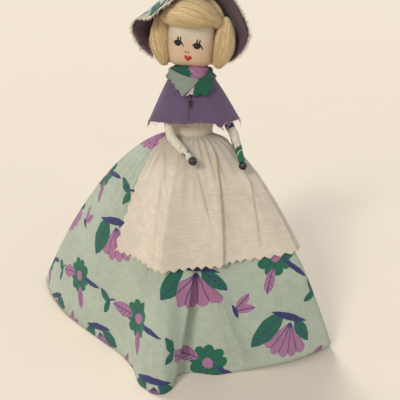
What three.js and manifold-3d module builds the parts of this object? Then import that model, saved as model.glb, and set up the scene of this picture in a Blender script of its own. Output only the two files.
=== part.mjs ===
// Cloth doll in a lined bonnet, short cape, crossed scarf, apron and wide print skirt.
// Millimetres, +Z up. The doll faces -Y, and left and right are the doll's own,
// so its right hand is on the -X side. The origin is the middle of the post's foot.
import * as THREE from "three";
import { mergeVertices } from "three/addons/utils/BufferGeometryUtils.js";
import Module from "manifold-3d";

const wasm = await Module();
wasm.setup();

// Fits and cloth
const FIT = 0.35; // air between pieces that lie on each other
const CLOTH = 0.7; // one layer of dress cloth
const DRAPE = 1.1; // air between a layer that hangs over the skirt and the skirt's folds

// Post and neck
const POST_RADIUS = 8;
const WAIST_HEIGHT = 121.5; // floor to the waist seam
const TORSO_LENGTH = 35; // waist seam to the top of the post
const NECK_PIN_RADIUS = 3;
const NECK_PIN_IN_HEAD = 14;
const WOOD_ABOVE_WIRE = 1.2; // left between the pin's hole and the arm wire's hole

// Head, which turns on the neck pin
const HEAD_RADIUS = 13;
const HEAD_HEIGHT = 31;
const HEAD_SQUARENESS = 3.4; // 2 is an ellipsoid, more is boxier
const HEAD_TURN = 6; // degrees towards the doll's right
const HEAD_TILT = 3; // degrees towards the doll's left

// Hair of loose roving
const HAIR_COVER = 5.5; // over the top, sides and back of the head
const HAIR_NAPE = 1.5; // lower edge of the cap above the chin
const HAIR_PARTING = 3; // how far the cap comes forward of the head's middle
const FRINGE_RADIUS = 6.6;
const FRINGE_DROP = 12; // below the crown of the head
const LOCK_RADIUS = 5.2;
const LOCK_TUCK = 2.1; // upper end below the fringe's middle
const LOCK_LIFT = 1.5; // lower end above the chin
const RIGHT_LOCK_OUT = 3.1; // its middle beyond the side of the head
const LEFT_LOCK_OUT = 4.6;
const HAIR_SWELL = 0.55; // less fills a roll of hair out sooner from its ends

// Bonnet, as arches round the head from the rim back to the knot
const RIM_SIDE_ROOM = 17.5; // beside the head
const RIM_TOP_ROOM = 14; // above the head
const RIM_FALL = 19; // below the widest level, if the arch went full round
const RIM_REACH = 8; // in front of the neck at the sides
const RIM_PEAK = 8; // more reach over the forehead
const RIM_POINT = 0.28; // 0 is a round arch, more is pointed
const RIM_DIP = 12.5; // how far the rim is bent down over the doll's right temple
const RIM_DIP_REACH = 3.5; // and forward, past the fringe
const RIM_DIP_START = -88; // degrees from the top of the arch, at its right side
const RIM_DIP_END = 18; // and past its top
const RIM_DIP_FADE = 45; // degrees over which the bend comes in and goes
const BONNET_LIFT = 2; // widest level above the middle of the head
const RIM_ARCH = 138; // degrees from the top down to each lower corner of the rim
const NAPE_ARCH = 124; // the same at the gathering line
const GATHER_EASE = 6; // air between the hair's sides and the gathering line
const GATHER_TOP_EASE = 1.5; // the same over the hair's top
const GATHER_FALL = 15; // below the widest level, if the arch went full round
const GATHER_SET_BACK = 5; // behind the neck
const CROWN_SLACK = 1.5; // bonnet back behind the hair
const CROWN_HOLE = 1.5; // left open where the crown is drawn together
const CROWN_FULLNESS = 0.8; // 1 is a half ball, less is fuller

// Waist: collar of the skirt, gathering thread and apron band
const COLLAR_HEIGHT = 6.5;
const THREAD_RADIUS = 0.3;
const BAND_HEIGHT = 9;
const BODICE_TUCK = 4; // below the waist seam

// Skirt: four corners of stiff cloth and the hollows between them, by direction in degrees
const SKIRT_FLARE = 0.6; // 1 is a straight cone, less bulges below the waist
const RIGHT_CORNER = 117;
const FRONT_CORNER = 73;
const LEFT_CORNER = 90;
const LEFT_CORNER_LIFT = 6; // above the floor
const BACK_CORNER = 94;
const BACK_CORNER_LIFT = 2;
const FRONT_RIGHT_HOLLOW = 58;
const FRONT_LEFT_HOLLOW = 59;
const BACK_LEFT_HOLLOW = 66;
const BACK_RIGHT_HOLLOW = 72;
const HEM_FOLDS = [
  { angle: -199, radius: RIGHT_CORNER, lift: 0 },
  { angle: -137, radius: FRONT_RIGHT_HOLLOW, lift: 0 },
  { angle: -106, radius: FRONT_CORNER, lift: 0 },
  { angle: -79, radius: FRONT_LEFT_HOLLOW, lift: 0 },
  { angle: -26, radius: LEFT_CORNER, lift: LEFT_CORNER_LIFT },
  { angle: 22, radius: BACK_LEFT_HOLLOW, lift: 0 },
  { angle: 70, radius: BACK_CORNER, lift: BACK_CORNER_LIFT },
  { angle: 112, radius: BACK_RIGHT_HOLLOW, lift: 0 },
];

// Apron panel, gathered into the band and pinked along its hem
const APRON_DROP = 61.5; // waist seam to the hem
const APRON_MIDDLE = -83; // direction it faces, in degrees
const APRON_TOP_SPREAD = 76; // half its reach round the waist, in degrees
const APRON_HEM_SPREAD = 64;
const APRON_TEETH = 24;
const APRON_TOOTH = 1.6;
const APRON_CORNER_EASE = 4; // beyond the skirt's corners, if it reached the floor
const APRON_HOLLOW_EASE = 6.5; // the same in the hollows
const APRON_FOLDS = [
  { angle: -199, radius: RIGHT_CORNER + APRON_CORNER_EASE, lift: 0 },
  { angle: -134, radius: FRONT_RIGHT_HOLLOW + APRON_HOLLOW_EASE, lift: 0 },
  { angle: -106, radius: FRONT_CORNER + APRON_CORNER_EASE, lift: 0 },
  { angle: -84, radius: FRONT_LEFT_HOLLOW + APRON_HOLLOW_EASE, lift: 0 },
  { angle: -64, radius: FRONT_LEFT_HOLLOW + APRON_HOLLOW_EASE, lift: 0 },
  { angle: -22, radius: LEFT_CORNER + APRON_CORNER_EASE, lift: 0 },
  { angle: 22, radius: BACK_LEFT_HOLLOW + APRON_HOLLOW_EASE, lift: 0 },
];

// Bow of the apron strings at the back
const BOW_KNOT_RADIUS = 2.3;
const BOW_LOOP_LENGTH = 12;
const BOW_LOOP_HEIGHT = 6.5;
const BOW_LOOP_DEPTH = 3;
const BOW_LOOP_DROOP = 14; // degrees
const BOW_TAIL_LENGTH = 34;
const BOW_TAIL_WIDTH = 6;
const BOW_TAIL_GAP = 0.6; // from the middle of the back to each tail, below the knot
const BOW_LIFT = 1.25; // lower edge of the loops above the waist seam, before they droop

// Cape, open down the front
const CAPE_NECK_DROP = 2; // top edge below the top of the post
const CAPE_LENGTH = 24.5;
const CAPE_RIGHT_EASE = 8.2; // hem beyond the right arm
const CAPE_LEFT_EASE = 3.25; // hem beyond the left arm
const CAPE_FRONT_EASE = 3.9; // hem in front of both arms
const CAPE_BACK_EASE = 1.2; // hem behind the bow
const CAPE_SQUARENESS = 2.5;
const CAPE_FLARE = 0.85;
const CAPE_RIPPLES = 7;
const CAPE_RIPPLE = 0.7;
const CAPE_OPENING = 0.6; // degrees each side of the front edges
const CAPE_KNOT_RADIUS = 1.1;
const CAPE_KNOT_BELOW = 2; // under the scarf's ends

// Scarf: a wrap round the neck and two ends crossed on the chest
const SCARF_HEIGHT = 3; // below the cape's top edge
const SCARF_RISE = 3.5; // above it, up to the chin
const SCARF_VEE = 6; // fall of the ends' upper edges towards the crossing
const SCARF_END_LENGTH = 10.5; // tips below the cape's top edge
const SCARF_END_SIDE = 0.5; // lower edges at the shoulders, below the cape's top edge
const SCARF_END_SWEEP = 80; // degrees from the middle of the chest round the neck
const SCARF_CROSSING = 16; // degrees left of the middle where the upper edges meet
const SCARF_TIPS = -8; // the same at the tips
const SCARF_END_SPACE = 1; // degrees from the meeting line to each end
const RIGHT_END_SWOOP = 2; // 1 is a straight lower edge, more is hollower
const LEFT_END_SWOOP = 1.2;

// Arms: cloth rolled on wire, with a bead for a hand
const SHOULDER_DROP = 13; // below the top of the post
const SHOULDER_EASE = 0.6; // air between the arm and the bodice
const ARM_RADIUS = 2.8;
const WRIST_RADIUS = 2.1;
const UPPER_ARM_LENGTH = 26.5;
const FOREARM_LENGTH = 20.5;
const ARM_BEND = 2.6; // wire's turn at the shoulder, above the sleeve
const WIRE_RADIUS = 0.8;
const BEAD_RADIUS = 2.3;
const RIGHT_ARM = { side: -1, out: -3, forward: 40, foreOut: -37, foreForward: 50 };
const LEFT_ARM = { side: 1, out: 26, forward: 20, foreOut: 10, foreForward: 52 };

// Facets
const ROUND = 24;
const FINE_ROUND = 12;
const SKIRT_COLUMNS = 50;
const SKIRT_ROWS = 8;
const APRON_ROWS = 5;
const ROW_CROWDING = 1.5; // 1 is even rows, more is closer rows near the waist
const TAIL_COLUMNS = 2;
const CAPE_COLUMNS = 36;
const CAPE_ROWS = 4;
const SCARF_COLUMNS = 10;
const UPPER_SLEEVE_ROWS = 10;
const FORE_SLEEVE_ROWS = 5;
const WIRE_STEPS = 40;
const WIRE_SIDES = 8;
const THREAD_SIDES = 6;
const HEAD_ROWS = 12;
const LOCK_ROWS = 8;
const BRIM_COLUMNS = 26;
const BRIM_ROWS = 4;
const CROWN_COLUMNS = 22;
const CROWN_ROWS = 6;
const MERGE = 1e-4;

const material = (color, roughness, metalness = 0) =>
  new THREE.MeshStandardMaterial({ color, roughness, metalness });
const PRINT = material(0xb9c8b6, 0.9);
const MUSLIN = material(0xe3d3b8, 0.95);
const MAUVE = material(0x7a6290, 0.95);
const LINING = material(0x6b5162, 0.95);
const SCARF_MINT = material(0xa9b6a6, 0.9);
const SCARF_GREEN = material(0x1f6a50, 0.9);
const SKIN = material(0xe0c2a2, 0.8);
const ROVING = material(0xdcbf8c, 0.95);
const WOOD = material(0xb98d5c, 0.7);
const WIRE = material(0x8c8c90, 0.4, 1);
const BEAD = material(0x24242e, 0.25);
const THREAD = material(0xd8ccb4, 0.9);

const { degToRad, euclideanModulo, lerp, radToDeg, smoothstep } = THREE.MathUtils;
const postTop = WAIST_HEIGHT + TORSO_LENGTH;
const bodiceOuter = POST_RADIUS + FIT + CLOTH;
const collarInner = bodiceOuter + FIT;
const collarOuter = collarInner + CLOTH;
const bandInner = collarOuter + 2 * FIT + 2 * THREAD_RADIUS;
const bandOuter = bandInner + CLOTH;
const capeTop = postTop - CAPE_NECK_DROP;
const wireBore = WIRE_RADIUS + FIT;
const fringeLevel = HEAD_HEIGHT - FRINGE_DROP + FRINGE_RADIUS;
const bonnetLevel = HEAD_HEIGHT / 2 + BONNET_LIFT;
const rimHalf = HEAD_RADIUS + RIM_SIDE_ROOM;
const rimRise = HEAD_HEIGHT + RIM_TOP_ROOM - bonnetLevel;
const gatherHalf = HEAD_RADIUS + HAIR_COVER + GATHER_EASE;
const gatherRise = HEAD_HEIGHT + HAIR_COVER + GATHER_TOP_EASE - bonnetLevel;

// A closed solid from a geometry, with doubled corners joined and slivers dropped
function solid(geometry) {
  const bare = new THREE.BufferGeometry();
  bare.setAttribute("position", geometry.getAttribute("position"));
  bare.setIndex(geometry.index);
  const merged = mergeVertices(bare, MERGE);
  const corners = merged.index.array;
  const triangles = [];
  for (let i = 0; i < corners.length; i += 3) {
    const [a, b, c] = corners.slice(i, i + 3);
    if (a !== b && b !== c && c !== a) triangles.push(a, b, c);
  }
  const vertProperties = new Float32Array(merged.getAttribute("position").array);
  const triVerts = new Uint32Array(triangles);
  return new wasm.Manifold(new wasm.Mesh({ numProp: 3, vertProperties, triVerts }));
}

// A named mesh of a solid, added to its group
function piece(group, name, finish, body) {
  const { vertProperties, triVerts } = body.getMesh();
  const geometry = new THREE.BufferGeometry();
  geometry.setAttribute("position", new THREE.BufferAttribute(vertProperties, 3));
  geometry.setIndex(new THREE.BufferAttribute(triVerts, 1));
  geometry.computeVertexNormals();
  const mesh = new THREE.Mesh(geometry, finish);
  mesh.name = name;
  group.add(mesh);
}

// A solid whose points and four-sided faces are given
function quadSolid(points, quads) {
  const geometry = new THREE.BufferGeometry();
  geometry.setFromPoints(points);
  geometry.setIndex(quads.flatMap(([a, b, c, d]) => [a, b, c, a, c, d]));
  return solid(geometry);
}

// A sheet with an outer and an inner side, each a function of u, v from 0 to 1. Seen from
// outside, u runs to the right and v runs down. A sheet that wraps closes on itself along u.
function sheet(columns, rows, outer, inner, wraps = false) {
  const across = wraps ? columns : columns + 1;
  const points = [];
  for (const side of [outer, inner]) {
    for (let j = 0; j <= rows; j++) {
      for (let i = 0; i < across; i++) points.push(side(i / columns, j / rows));
    }
  }
  const at = (side, i, j) => (side * (rows + 1) + j) * across + (i % across);
  const quads = [];
  for (let i = 0; i < columns; i++) {
    for (let j = 0; j < rows; j++) {
      quads.push([at(0, i, j), at(0, i, j + 1), at(0, i + 1, j + 1), at(0, i + 1, j)]);
      quads.push([at(1, i, j), at(1, i + 1, j), at(1, i + 1, j + 1), at(1, i, j + 1)]);
    }
    quads.push([at(0, i, 0), at(0, i + 1, 0), at(1, i + 1, 0), at(1, i, 0)]);
    quads.push([at(0, i + 1, rows), at(0, i, rows), at(1, i, rows), at(1, i + 1, rows)]);
  }
  for (let j = 0; !wraps && j < rows; j++) {
    quads.push([at(0, 0, j + 1), at(0, 0, j), at(1, 0, j), at(1, 0, j + 1)]);
    const last = columns;
    quads.push([at(0, last, j), at(0, last, j + 1), at(1, last, j + 1), at(1, last, j)]);
  }
  return quadSolid(points, quads);
}

// A stuffed form along a curve, closed to a point at both ends
function stuffed(curve, steps, radiusAt, sides = FINE_ROUND) {
  const ring = ringOn(curve, steps);
  const points = [];
  const quads = [];
  for (let j = 0; j <= steps; j++) {
    for (let i = 0; i < sides; i++) points.push(ring(i / sides, j / steps, radiusAt(j / steps)));
  }
  for (let j = 0; j < steps; j++) {
    for (let i = 0; i < sides; i++) {
      const next = (i + 1) % sides;
      const [here, below] = [j * sides, (j + 1) * sides];
      quads.push([here + i, below + i, below + next, here + next]);
    }
  }
  return quadSolid(points, quads);
}

// A cloth roll along a curve, with a bore for its wire and rings that close up to its far end
function roll(curve, steps, radiusAt, bore) {
  const ring = ringOn(curve, steps);
  const late = (v) => 1 - (1 - v) ** 2;
  const outer = (u, v) => ring(u, late(v), radiusAt(late(v)));
  const inner = (u, v) => ring(u, late(v), bore);
  return sheet(FINE_ROUND, steps, outer, inner, true);
}

// Points of circles that stand square on a curve
function ringOn(curve, steps) {
  const { normals, binormals } = curve.computeFrenetFrames(steps);
  return (u, v, radius) => {
    const step = Math.round(v * steps);
    const angle = -2 * Math.PI * u;
    return curve
      .getPointAt(v)
      .addScaledVector(normals[step], radius * Math.cos(angle))
      .addScaledVector(binormals[step], radius * Math.sin(angle));
  };
}

// A straight rod between two points
function rod(start, end, radius, sides = ROUND) {
  const along = end.clone().sub(start);
  const geometry = new THREE.CylinderGeometry(radius, radius, along.length(), sides);
  const up = new THREE.Vector3(0, 1, 0);
  const turn = new THREE.Quaternion().setFromUnitVectors(up, along.normalize());
  geometry.applyQuaternion(turn);
  const middle = start.clone().lerp(end, 0.5);
  geometry.translate(middle.x, middle.y, middle.z);
  return solid(geometry);
}

// A ball, or an ellipsoid of three half-sizes, about a middle point
function ball(middle, half, sides = FINE_ROUND) {
  const geometry = new THREE.SphereGeometry(1, sides, sides / 2);
  geometry.scale(half.x, half.y, half.z);
  geometry.translate(middle.x, middle.y, middle.z);
  return solid(geometry);
}

const point = (x, y, z) => new THREE.Vector3(x, y, z);
const polar = (radius, angle, z) => point(radius * Math.cos(angle), radius * Math.sin(angle), z);
const even = (size) => point(size, size, size);
const along = (start, direction, distance) => start.clone().addScaledVector(direction, distance);

// A ring of cloth round the post whose radius may vary with direction and height
function ringOfCloth(columns, rows, top, bottom, innerAt) {
  const at = (u, v, out) => {
    const angle = 2 * Math.PI * u;
    const z = lerp(top, bottom, v);
    return polar(innerAt(angle, z) + out, angle, z);
  };
  return sheet(columns, rows, (u, v) => at(u, v, CLOTH), (u, v) => at(u, v, 0), true);
}

// Radius and lift of a hem in one direction, drawn to a crest between its hollows
function foldAt(folds, angle) {
  const first = folds[0];
  const round = [...folds, { ...first, angle: first.angle + 360 }];
  const turn = euclideanModulo(radToDeg(angle) - first.angle, 360) + first.angle;
  const next = round.findIndex((fold) => fold.angle > turn);
  const [before, after] = [round[next - 1], round[next]];
  const share = (turn - before.angle) / (after.angle - before.angle);
  const rising = after.radius > before.radius;
  const weight = rising ? share ** 2 : 1 - (1 - share) ** 2;
  return {
    radius: lerp(before.radius, after.radius, weight),
    lift: lerp(before.lift, after.lift, weight),
  };
}

// Radius of flared cloth at a share of the way from the waist to the floor
function flareRadius(folds, angle, share) {
  const hem = foldAt(folds, angle).radius;
  return collarInner + (hem - collarInner) * share ** SKIRT_FLARE;
}

// Radius of the skirt's outer side at a height above the floor
const skirtOuter = (angle, z) => {
  const lift = foldAt(HEM_FOLDS, angle).lift;
  const share = Math.max(0, (WAIST_HEIGHT - z) / (WAIST_HEIGHT - lift));
  return flareRadius(HEM_FOLDS, angle, share) + CLOTH;
};

// Wooden post that carries the dress, drilled for the neck pin and the arm wire
function makePost(pin, wireHole) {
  const body = rod(point(0, 0, 0), point(0, 0, postTop), POST_RADIUS);
  return body.subtract(pin).subtract(wireHole);
}

// Skirt: a collar at the waist that opens into the flared cloth
function makeSkirt() {
  const collarRow = 1 / (SKIRT_ROWS + 1);
  const at = (u, v, out) => {
    const angle = 2 * Math.PI * u;
    const share = Math.max(0, (v - collarRow) / (1 - collarRow)) ** ROW_CROWDING;
    const lift = foldAt(HEM_FOLDS, angle).lift;
    const z = v < collarRow ? WAIST_HEIGHT + COLLAR_HEIGHT : lerp(WAIST_HEIGHT, lift, share);
    return polar(flareRadius(HEM_FOLDS, angle, share) + out, angle, z);
  };
  const outer = (u, v) => at(u, v, CLOTH);
  const inner = (u, v) => at(u, v, 0);
  return sheet(SKIRT_COLUMNS, SKIRT_ROWS + 1, outer, inner, true);
}

// Apron panel over the front of the skirt, with a zigzag hem
function makeApron() {
  const columns = 2 * APRON_TEETH;
  const top = WAIST_HEIGHT - FIT;
  const at = (u, v, out) => {
    const spread = lerp(APRON_TOP_SPREAD, APRON_HEM_SPREAD, v);
    const angle = degToRad(APRON_MIDDLE + (2 * u - 1) * spread);
    const tooth = Math.round(u * columns) % 2 === 0 ? 0 : APRON_TOOTH;
    const z = top - (APRON_DROP - FIT - tooth) * v ** ROW_CROWDING;
    const own = flareRadius(APRON_FOLDS, angle, (WAIST_HEIGHT - z) / WAIST_HEIGHT);
    const base = Math.max(own, skirtOuter(angle, z));
    return polar(base + DRAPE + out, angle, z);
  };
  return sheet(columns, APRON_ROWS, (u, v) => at(u, v, CLOTH), (u, v) => at(u, v, 0));
}

// Bow: a knot against the band, a loop to each side and two tails down the skirt
const bowHeight = WAIST_HEIGHT + BOW_LIFT + BOW_LOOP_HEIGHT / 2;
const knotMiddle = point(0, bandOuter + FIT + BOW_KNOT_RADIUS, bowHeight);

const bowKnot = (grow) => ball(knotMiddle, even(BOW_KNOT_RADIUS + grow));

function makeBowLoop(side) {
  const half = point(BOW_LOOP_LENGTH / 2, BOW_LOOP_DEPTH / 2, BOW_LOOP_HEIGHT / 2);
  const geometry = new THREE.SphereGeometry(1, FINE_ROUND, FINE_ROUND / 2);
  geometry.scale(half.x, half.y, half.z);
  geometry.translate(side * (half.x + BOW_KNOT_RADIUS / 2), 0, 0);
  geometry.rotateY(side * degToRad(BOW_LOOP_DROOP));
  geometry.translate(knotMiddle.x, knotMiddle.y, knotMiddle.z);
  return solid(geometry).subtract(bowKnot(FIT));
}

function makeBowTail(side) {
  const top = bowHeight - BOW_KNOT_RADIUS - FIT;
  const back = Math.PI / 2;
  const middle = back - (side * (BOW_TAIL_GAP + BOW_TAIL_WIDTH / 2)) / (bandOuter + FIT);
  const at = (u, v, out) => {
    const z = top - BOW_TAIL_LENGTH * v ** ROW_CROWDING;
    const radius = Math.max(skirtOuter(middle, z), bandOuter);
    const angle = middle + ((u - 0.5) * BOW_TAIL_WIDTH) / radius;
    const base = Math.max(skirtOuter(angle, z) + DRAPE, bandOuter + FIT);
    return polar(base + out, angle, z);
  };
  return sheet(TAIL_COLUMNS, FINE_ROUND, (u, v) => at(u, v, CLOTH), (u, v) => at(u, v, 0));
}

// Places and directions of one arm
function armPlan(arm) {
  const aim = (out, forward) => {
    const [o, f] = [degToRad(out), degToRad(forward)];
    return point(arm.side * Math.sin(o), -Math.cos(o) * Math.sin(f), -Math.cos(o) * Math.cos(f));
  };
  const reach = arm.side * (bodiceOuter + SHOULDER_EASE + ARM_RADIUS);
  const shoulder = point(reach, 0, postTop - SHOULDER_DROP);
  const upper = aim(arm.out, arm.forward);
  const fore = aim(arm.foreOut, arm.foreForward);
  const elbow = shoulder.clone().addScaledVector(upper, UPPER_ARM_LENGTH);
  const hand = elbow.clone().addScaledVector(fore, FOREARM_LENGTH);
  return { side: arm.side, shoulder, upper, elbow, fore, hand };
}

const right = armPlan(RIGHT_ARM);
const left = armPlan(LEFT_ARM);

// Point of an upper arm's middle line at a height
const armAt = (plan, z) => along(plan.shoulder, plan.upper, (z - plan.shoulder.z) / plan.upper.z);

// How far the cape's hem reaches, over the arms and the bow
const rightArm = armAt(right, capeTop - CAPE_LENGTH);
const leftArm = armAt(left, capeTop - CAPE_LENGTH);
const capeReach = {
  right: ARM_RADIUS + CAPE_RIGHT_EASE - rightArm.x,
  left: ARM_RADIUS + CAPE_LEFT_EASE + leftArm.x,
  front: ARM_RADIUS + CAPE_FRONT_EASE - Math.min(rightArm.y, leftArm.y),
  back: knotMiddle.y + BOW_KNOT_RADIUS + CAPE_BACK_EASE,
};

// Radius of the cape's inner side, which eases from the neck to its squarish hem
function capeInner(angle, z) {
  const side = Math.cos(angle) > 0 ? capeReach.left : capeReach.right;
  const depth = Math.sin(angle) > 0 ? capeReach.back : capeReach.front;
  const power = CAPE_SQUARENESS;
  const corner = (Math.abs(Math.cos(angle)) / side) ** power + (Math.abs(Math.sin(angle)) / depth) ** power;
  const hem = corner ** (-1 / power) + CAPE_RIPPLE * (Math.cos(CAPE_RIPPLES * angle) + 1);
  const share = Math.max(0, (capeTop - z) / CAPE_LENGTH);
  const neck = bodiceOuter + FIT;
  return neck + (hem - CLOTH - neck) * share ** CAPE_FLARE;
}

const capeOuter = (angle, z) => capeInner(angle, z) + CLOTH;

// Cape: one turn of cloth whose front edges face each other
function makeCape() {
  const at = (u, v, out) => {
    const angle = degToRad(lerp(-90 + CAPE_OPENING, 270 - CAPE_OPENING, u));
    const z = capeTop - CAPE_LENGTH * v;
    return polar(capeInner(angle, z) + out, angle, z);
  };
  return sheet(CAPE_COLUMNS, CAPE_ROWS, (u, v) => at(u, v, CLOTH), (u, v) => at(u, v, 0));
}

function makeCapeKnot() {
  const z = capeTop - FIT - SCARF_END_LENGTH - CAPE_KNOT_BELOW - CAPE_KNOT_RADIUS;
  const front = -Math.PI / 2;
  return ball(polar(capeOuter(front, z) + FIT + CAPE_KNOT_RADIUS, front, z), even(CAPE_KNOT_RADIUS));
}

// Scarf wrap on the cape's neck edge
const scarfInner = (angle, z) => capeOuter(angle, z) + FIT;

const makeScarfWrap = () =>
  ringOfCloth(CAPE_COLUMNS, CAPE_ROWS, capeTop + SCARF_RISE, capeTop - SCARF_HEIGHT, scarfInner);

// One end of the scarf, from the shoulder to the middle of the chest
function makeScarfEnd(side) {
  const swoop = side > 0 ? LEFT_END_SWOOP : RIGHT_END_SWOOP;
  const at = (u, v, out) => {
    const share = side > 0 ? 1 - u : u;
    const meeting = lerp(SCARF_CROSSING, SCARF_TIPS, v) + side * SCARF_END_SPACE;
    const angle = degToRad(-90 + lerp(side * SCARF_END_SWEEP, meeting, share));
    const top = capeTop + SCARF_RISE - FIT - SCARF_VEE * share;
    const bottom = capeTop - FIT - lerp(SCARF_END_SIDE, SCARF_END_LENGTH, share ** swoop);
    const z = lerp(top, bottom, v);
    return polar(scarfInner(angle, z) + CLOTH + FIT + out, angle, z);
  };
  return sheet(SCARF_COLUMNS, CAPE_ROWS, (u, v) => at(u, v, CLOTH), (u, v) => at(u, v, 0));
}

// Upper sleeve, with a round end at the elbow
function makeUpperSleeve(plan) {
  const start = along(plan.shoulder, plan.upper, ARM_BEND);
  const length = UPPER_ARM_LENGTH - ARM_BEND + ARM_RADIUS;
  const curve = new THREE.LineCurve3(start, along(start, plan.upper, length));
  const radiusAt = (v) => {
    const past = Math.max(0, v * length - (UPPER_ARM_LENGTH - ARM_BEND));
    const round = Math.sqrt(Math.max(0, ARM_RADIUS ** 2 - past ** 2));
    return Math.max(wireBore + FIT, round);
  };
  return roll(curve, UPPER_SLEEVE_ROWS, radiusAt, wireBore);
}

// Forearm sleeve, which narrows towards the bead
function makeForeSleeve(plan) {
  const start = along(plan.elbow, plan.fore, ARM_RADIUS + FIT);
  const end = along(plan.hand, plan.fore, -BEAD_RADIUS - FIT);
  const radiusAt = (v) => lerp(ARM_RADIUS, WRIST_RADIUS, v ** 2);
  return roll(new THREE.LineCurve3(start, end), FORE_SLEEVE_ROWS, radiusAt, wireBore);
}

function foreWire(plan, grow) {
  const start = along(plan.elbow, plan.fore, ARM_RADIUS + FIT);
  return rod(start, along(plan.hand, plan.fore, grow), WIRE_RADIUS + grow, FINE_ROUND);
}

const makeBead = (plan) => ball(plan.hand, even(BEAD_RADIUS)).subtract(foreWire(plan, FIT));

// The wire of both arms, bent at the shoulders and passed through the post
function makeArmWire(right, left) {
  const path = new THREE.CurvePath();
  const ends = [right, left].map((plan) => {
    const inward = point(-plan.side, 0, 0);
    return {
      tip: along(plan.elbow, plan.upper, -ARM_RADIUS),
      low: along(plan.shoulder, plan.upper, ARM_BEND),
      corner: plan.shoulder,
      high: along(plan.shoulder, inward, ARM_BEND),
    };
  });
  const [from, to] = ends;
  path.add(new THREE.LineCurve3(from.tip, from.low));
  path.add(new THREE.QuadraticBezierCurve3(from.low, from.corner, from.high));
  path.add(new THREE.LineCurve3(from.high, to.high));
  path.add(new THREE.QuadraticBezierCurve3(to.high, to.corner, to.low));
  path.add(new THREE.LineCurve3(to.low, to.tip));
  const section = new THREE.Shape().absarc(0, 0, WIRE_RADIUS, 0, 2 * Math.PI);
  const options = { steps: WIRE_STEPS, curveSegments: WIRE_SIDES / 2, extrudePath: path };
  return solid(new THREE.ExtrudeGeometry(section, options));
}

// Head: a squarish stuffed form, drilled for the neck pin. Its group stands on the chin.
function headForm(grow) {
  const power = 2 / HEAD_SQUARENESS;
  const profile = [];
  for (let i = 0; i <= HEAD_ROWS; i++) {
    const angle = (Math.PI * i) / HEAD_ROWS;
    const out = Math.sin(angle) ** power;
    const up = -Math.sign(Math.cos(angle)) * Math.abs(Math.cos(angle)) ** power;
    const radius = i === 0 || i === HEAD_ROWS ? 0 : (HEAD_RADIUS + grow) * out;
    profile.push(new THREE.Vector2(radius, HEAD_HEIGHT / 2 + (HEAD_HEIGHT / 2 + grow) * up));
  }
  return solid(new THREE.LatheGeometry(profile, ROUND).rotateX(Math.PI / 2));
}

// Hair cap over the top and back of the head, cut off at a parting in front and at the nape
function hairCap(grow) {
  const cover = HAIR_COVER + grow;
  const around = HEAD_RADIUS + cover;
  const whole = ball(point(0, 0, HEAD_HEIGHT / 2), point(around, around, HEAD_HEIGHT / 2 + cover), ROUND);
  const front = -HAIR_PARTING - grow;
  const foot = HAIR_NAPE - grow;
  const [depth, height] = [around - front, HEAD_HEIGHT + cover - foot];
  const kept = new THREE.BoxGeometry(2 * around, depth, height);
  kept.translate(0, front + depth / 2, foot + height / 2);
  return whole.intersect(solid(kept));
}

const makeHairCap = () => hairCap(0).subtract(headForm(FIT));

const swell = (v) => Math.sin(Math.PI * v) ** HAIR_SWELL;

// Fringe roll across the forehead
function makeFringe() {
  const front = -HEAD_RADIUS - FIT;
  const side = HEAD_RADIUS + LOCK_RADIUS / 2;
  const curve = new THREE.QuadraticBezierCurve3(
    point(-side, -HAIR_PARTING, fringeLevel - FRINGE_RADIUS / 2),
    point(0, 2 * front + HAIR_PARTING, fringeLevel + FRINGE_RADIUS / 2),
    point(side, -HAIR_PARTING, fringeLevel - FRINGE_RADIUS / 2),
  );
  const whole = stuffed(curve, FINE_ROUND, (v) => FRINGE_RADIUS * swell(v));
  return whole.subtract(headForm(FIT)).subtract(hairCap(FIT));
}

// Lock that hangs at one side of the face, cut by the head, the cap and the fringe
function makeLock(side, fringe) {
  const reach = side * (HEAD_RADIUS + (side > 0 ? LEFT_LOCK_OUT : RIGHT_LOCK_OUT));
  const foot = point(reach, -HAIR_PARTING - LOCK_RADIUS / 2, LOCK_LIFT);
  const curve = new THREE.LineCurve3(point(reach, foot.y, fringeLevel - LOCK_TUCK), foot);
  const whole = stuffed(curve, LOCK_ROWS, (v) => LOCK_RADIUS * swell(v));
  return whole.subtract(headForm(FIT)).subtract(hairCap(FIT)).subtract(fringe);
}

// A point of the bonnet: an arch of three half-sizes, at an angle from its top
function archPoint(angle, half, rise, fall, y) {
  const up = Math.cos(angle);
  const narrow = 1 - RIM_POINT * Math.max(0, up) * (rise / rimRise);
  return point(half * Math.sin(angle) * narrow, y, bonnetLevel + up * (up > 0 ? rise : fall));
}

const archAngle = (u, reach) => degToRad(lerp(reach, -reach, u));

// Brim from the rim back to the gathering line, at a distance inside its outer side
function brimPoint(u, v, inset) {
  const ease = Math.sin((v * Math.PI) / 2);
  const angle = archAngle(u, lerp(RIM_ARCH, NAPE_ARCH, ease));
  const rimY = -RIM_REACH - RIM_PEAK * Math.cos(angle);
  const spot = archPoint(
    angle,
    lerp(rimHalf, gatherHalf, ease) - inset,
    lerp(rimRise, gatherRise, ease) - inset,
    lerp(RIM_FALL, GATHER_FALL, ease) - inset,
    lerp(rimY, GATHER_SET_BACK, v),
  );
  const degrees = radToDeg(angle);
  const begun = smoothstep(degrees, RIM_DIP_START, RIM_DIP_START + RIM_DIP_FADE);
  const over = smoothstep(degrees, RIM_DIP_END - RIM_DIP_FADE, RIM_DIP_END);
  const bend = begun * (1 - over) * (1 - ease) ** 2;
  return spot.add(point(0, -RIM_DIP_REACH * bend, -RIM_DIP * bend));
}

const makeBrim = () =>
  sheet(BRIM_COLUMNS, BRIM_ROWS, (u, v) => brimPoint(u, v, 0), (u, v) => brimPoint(u, v, CLOTH));

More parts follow.
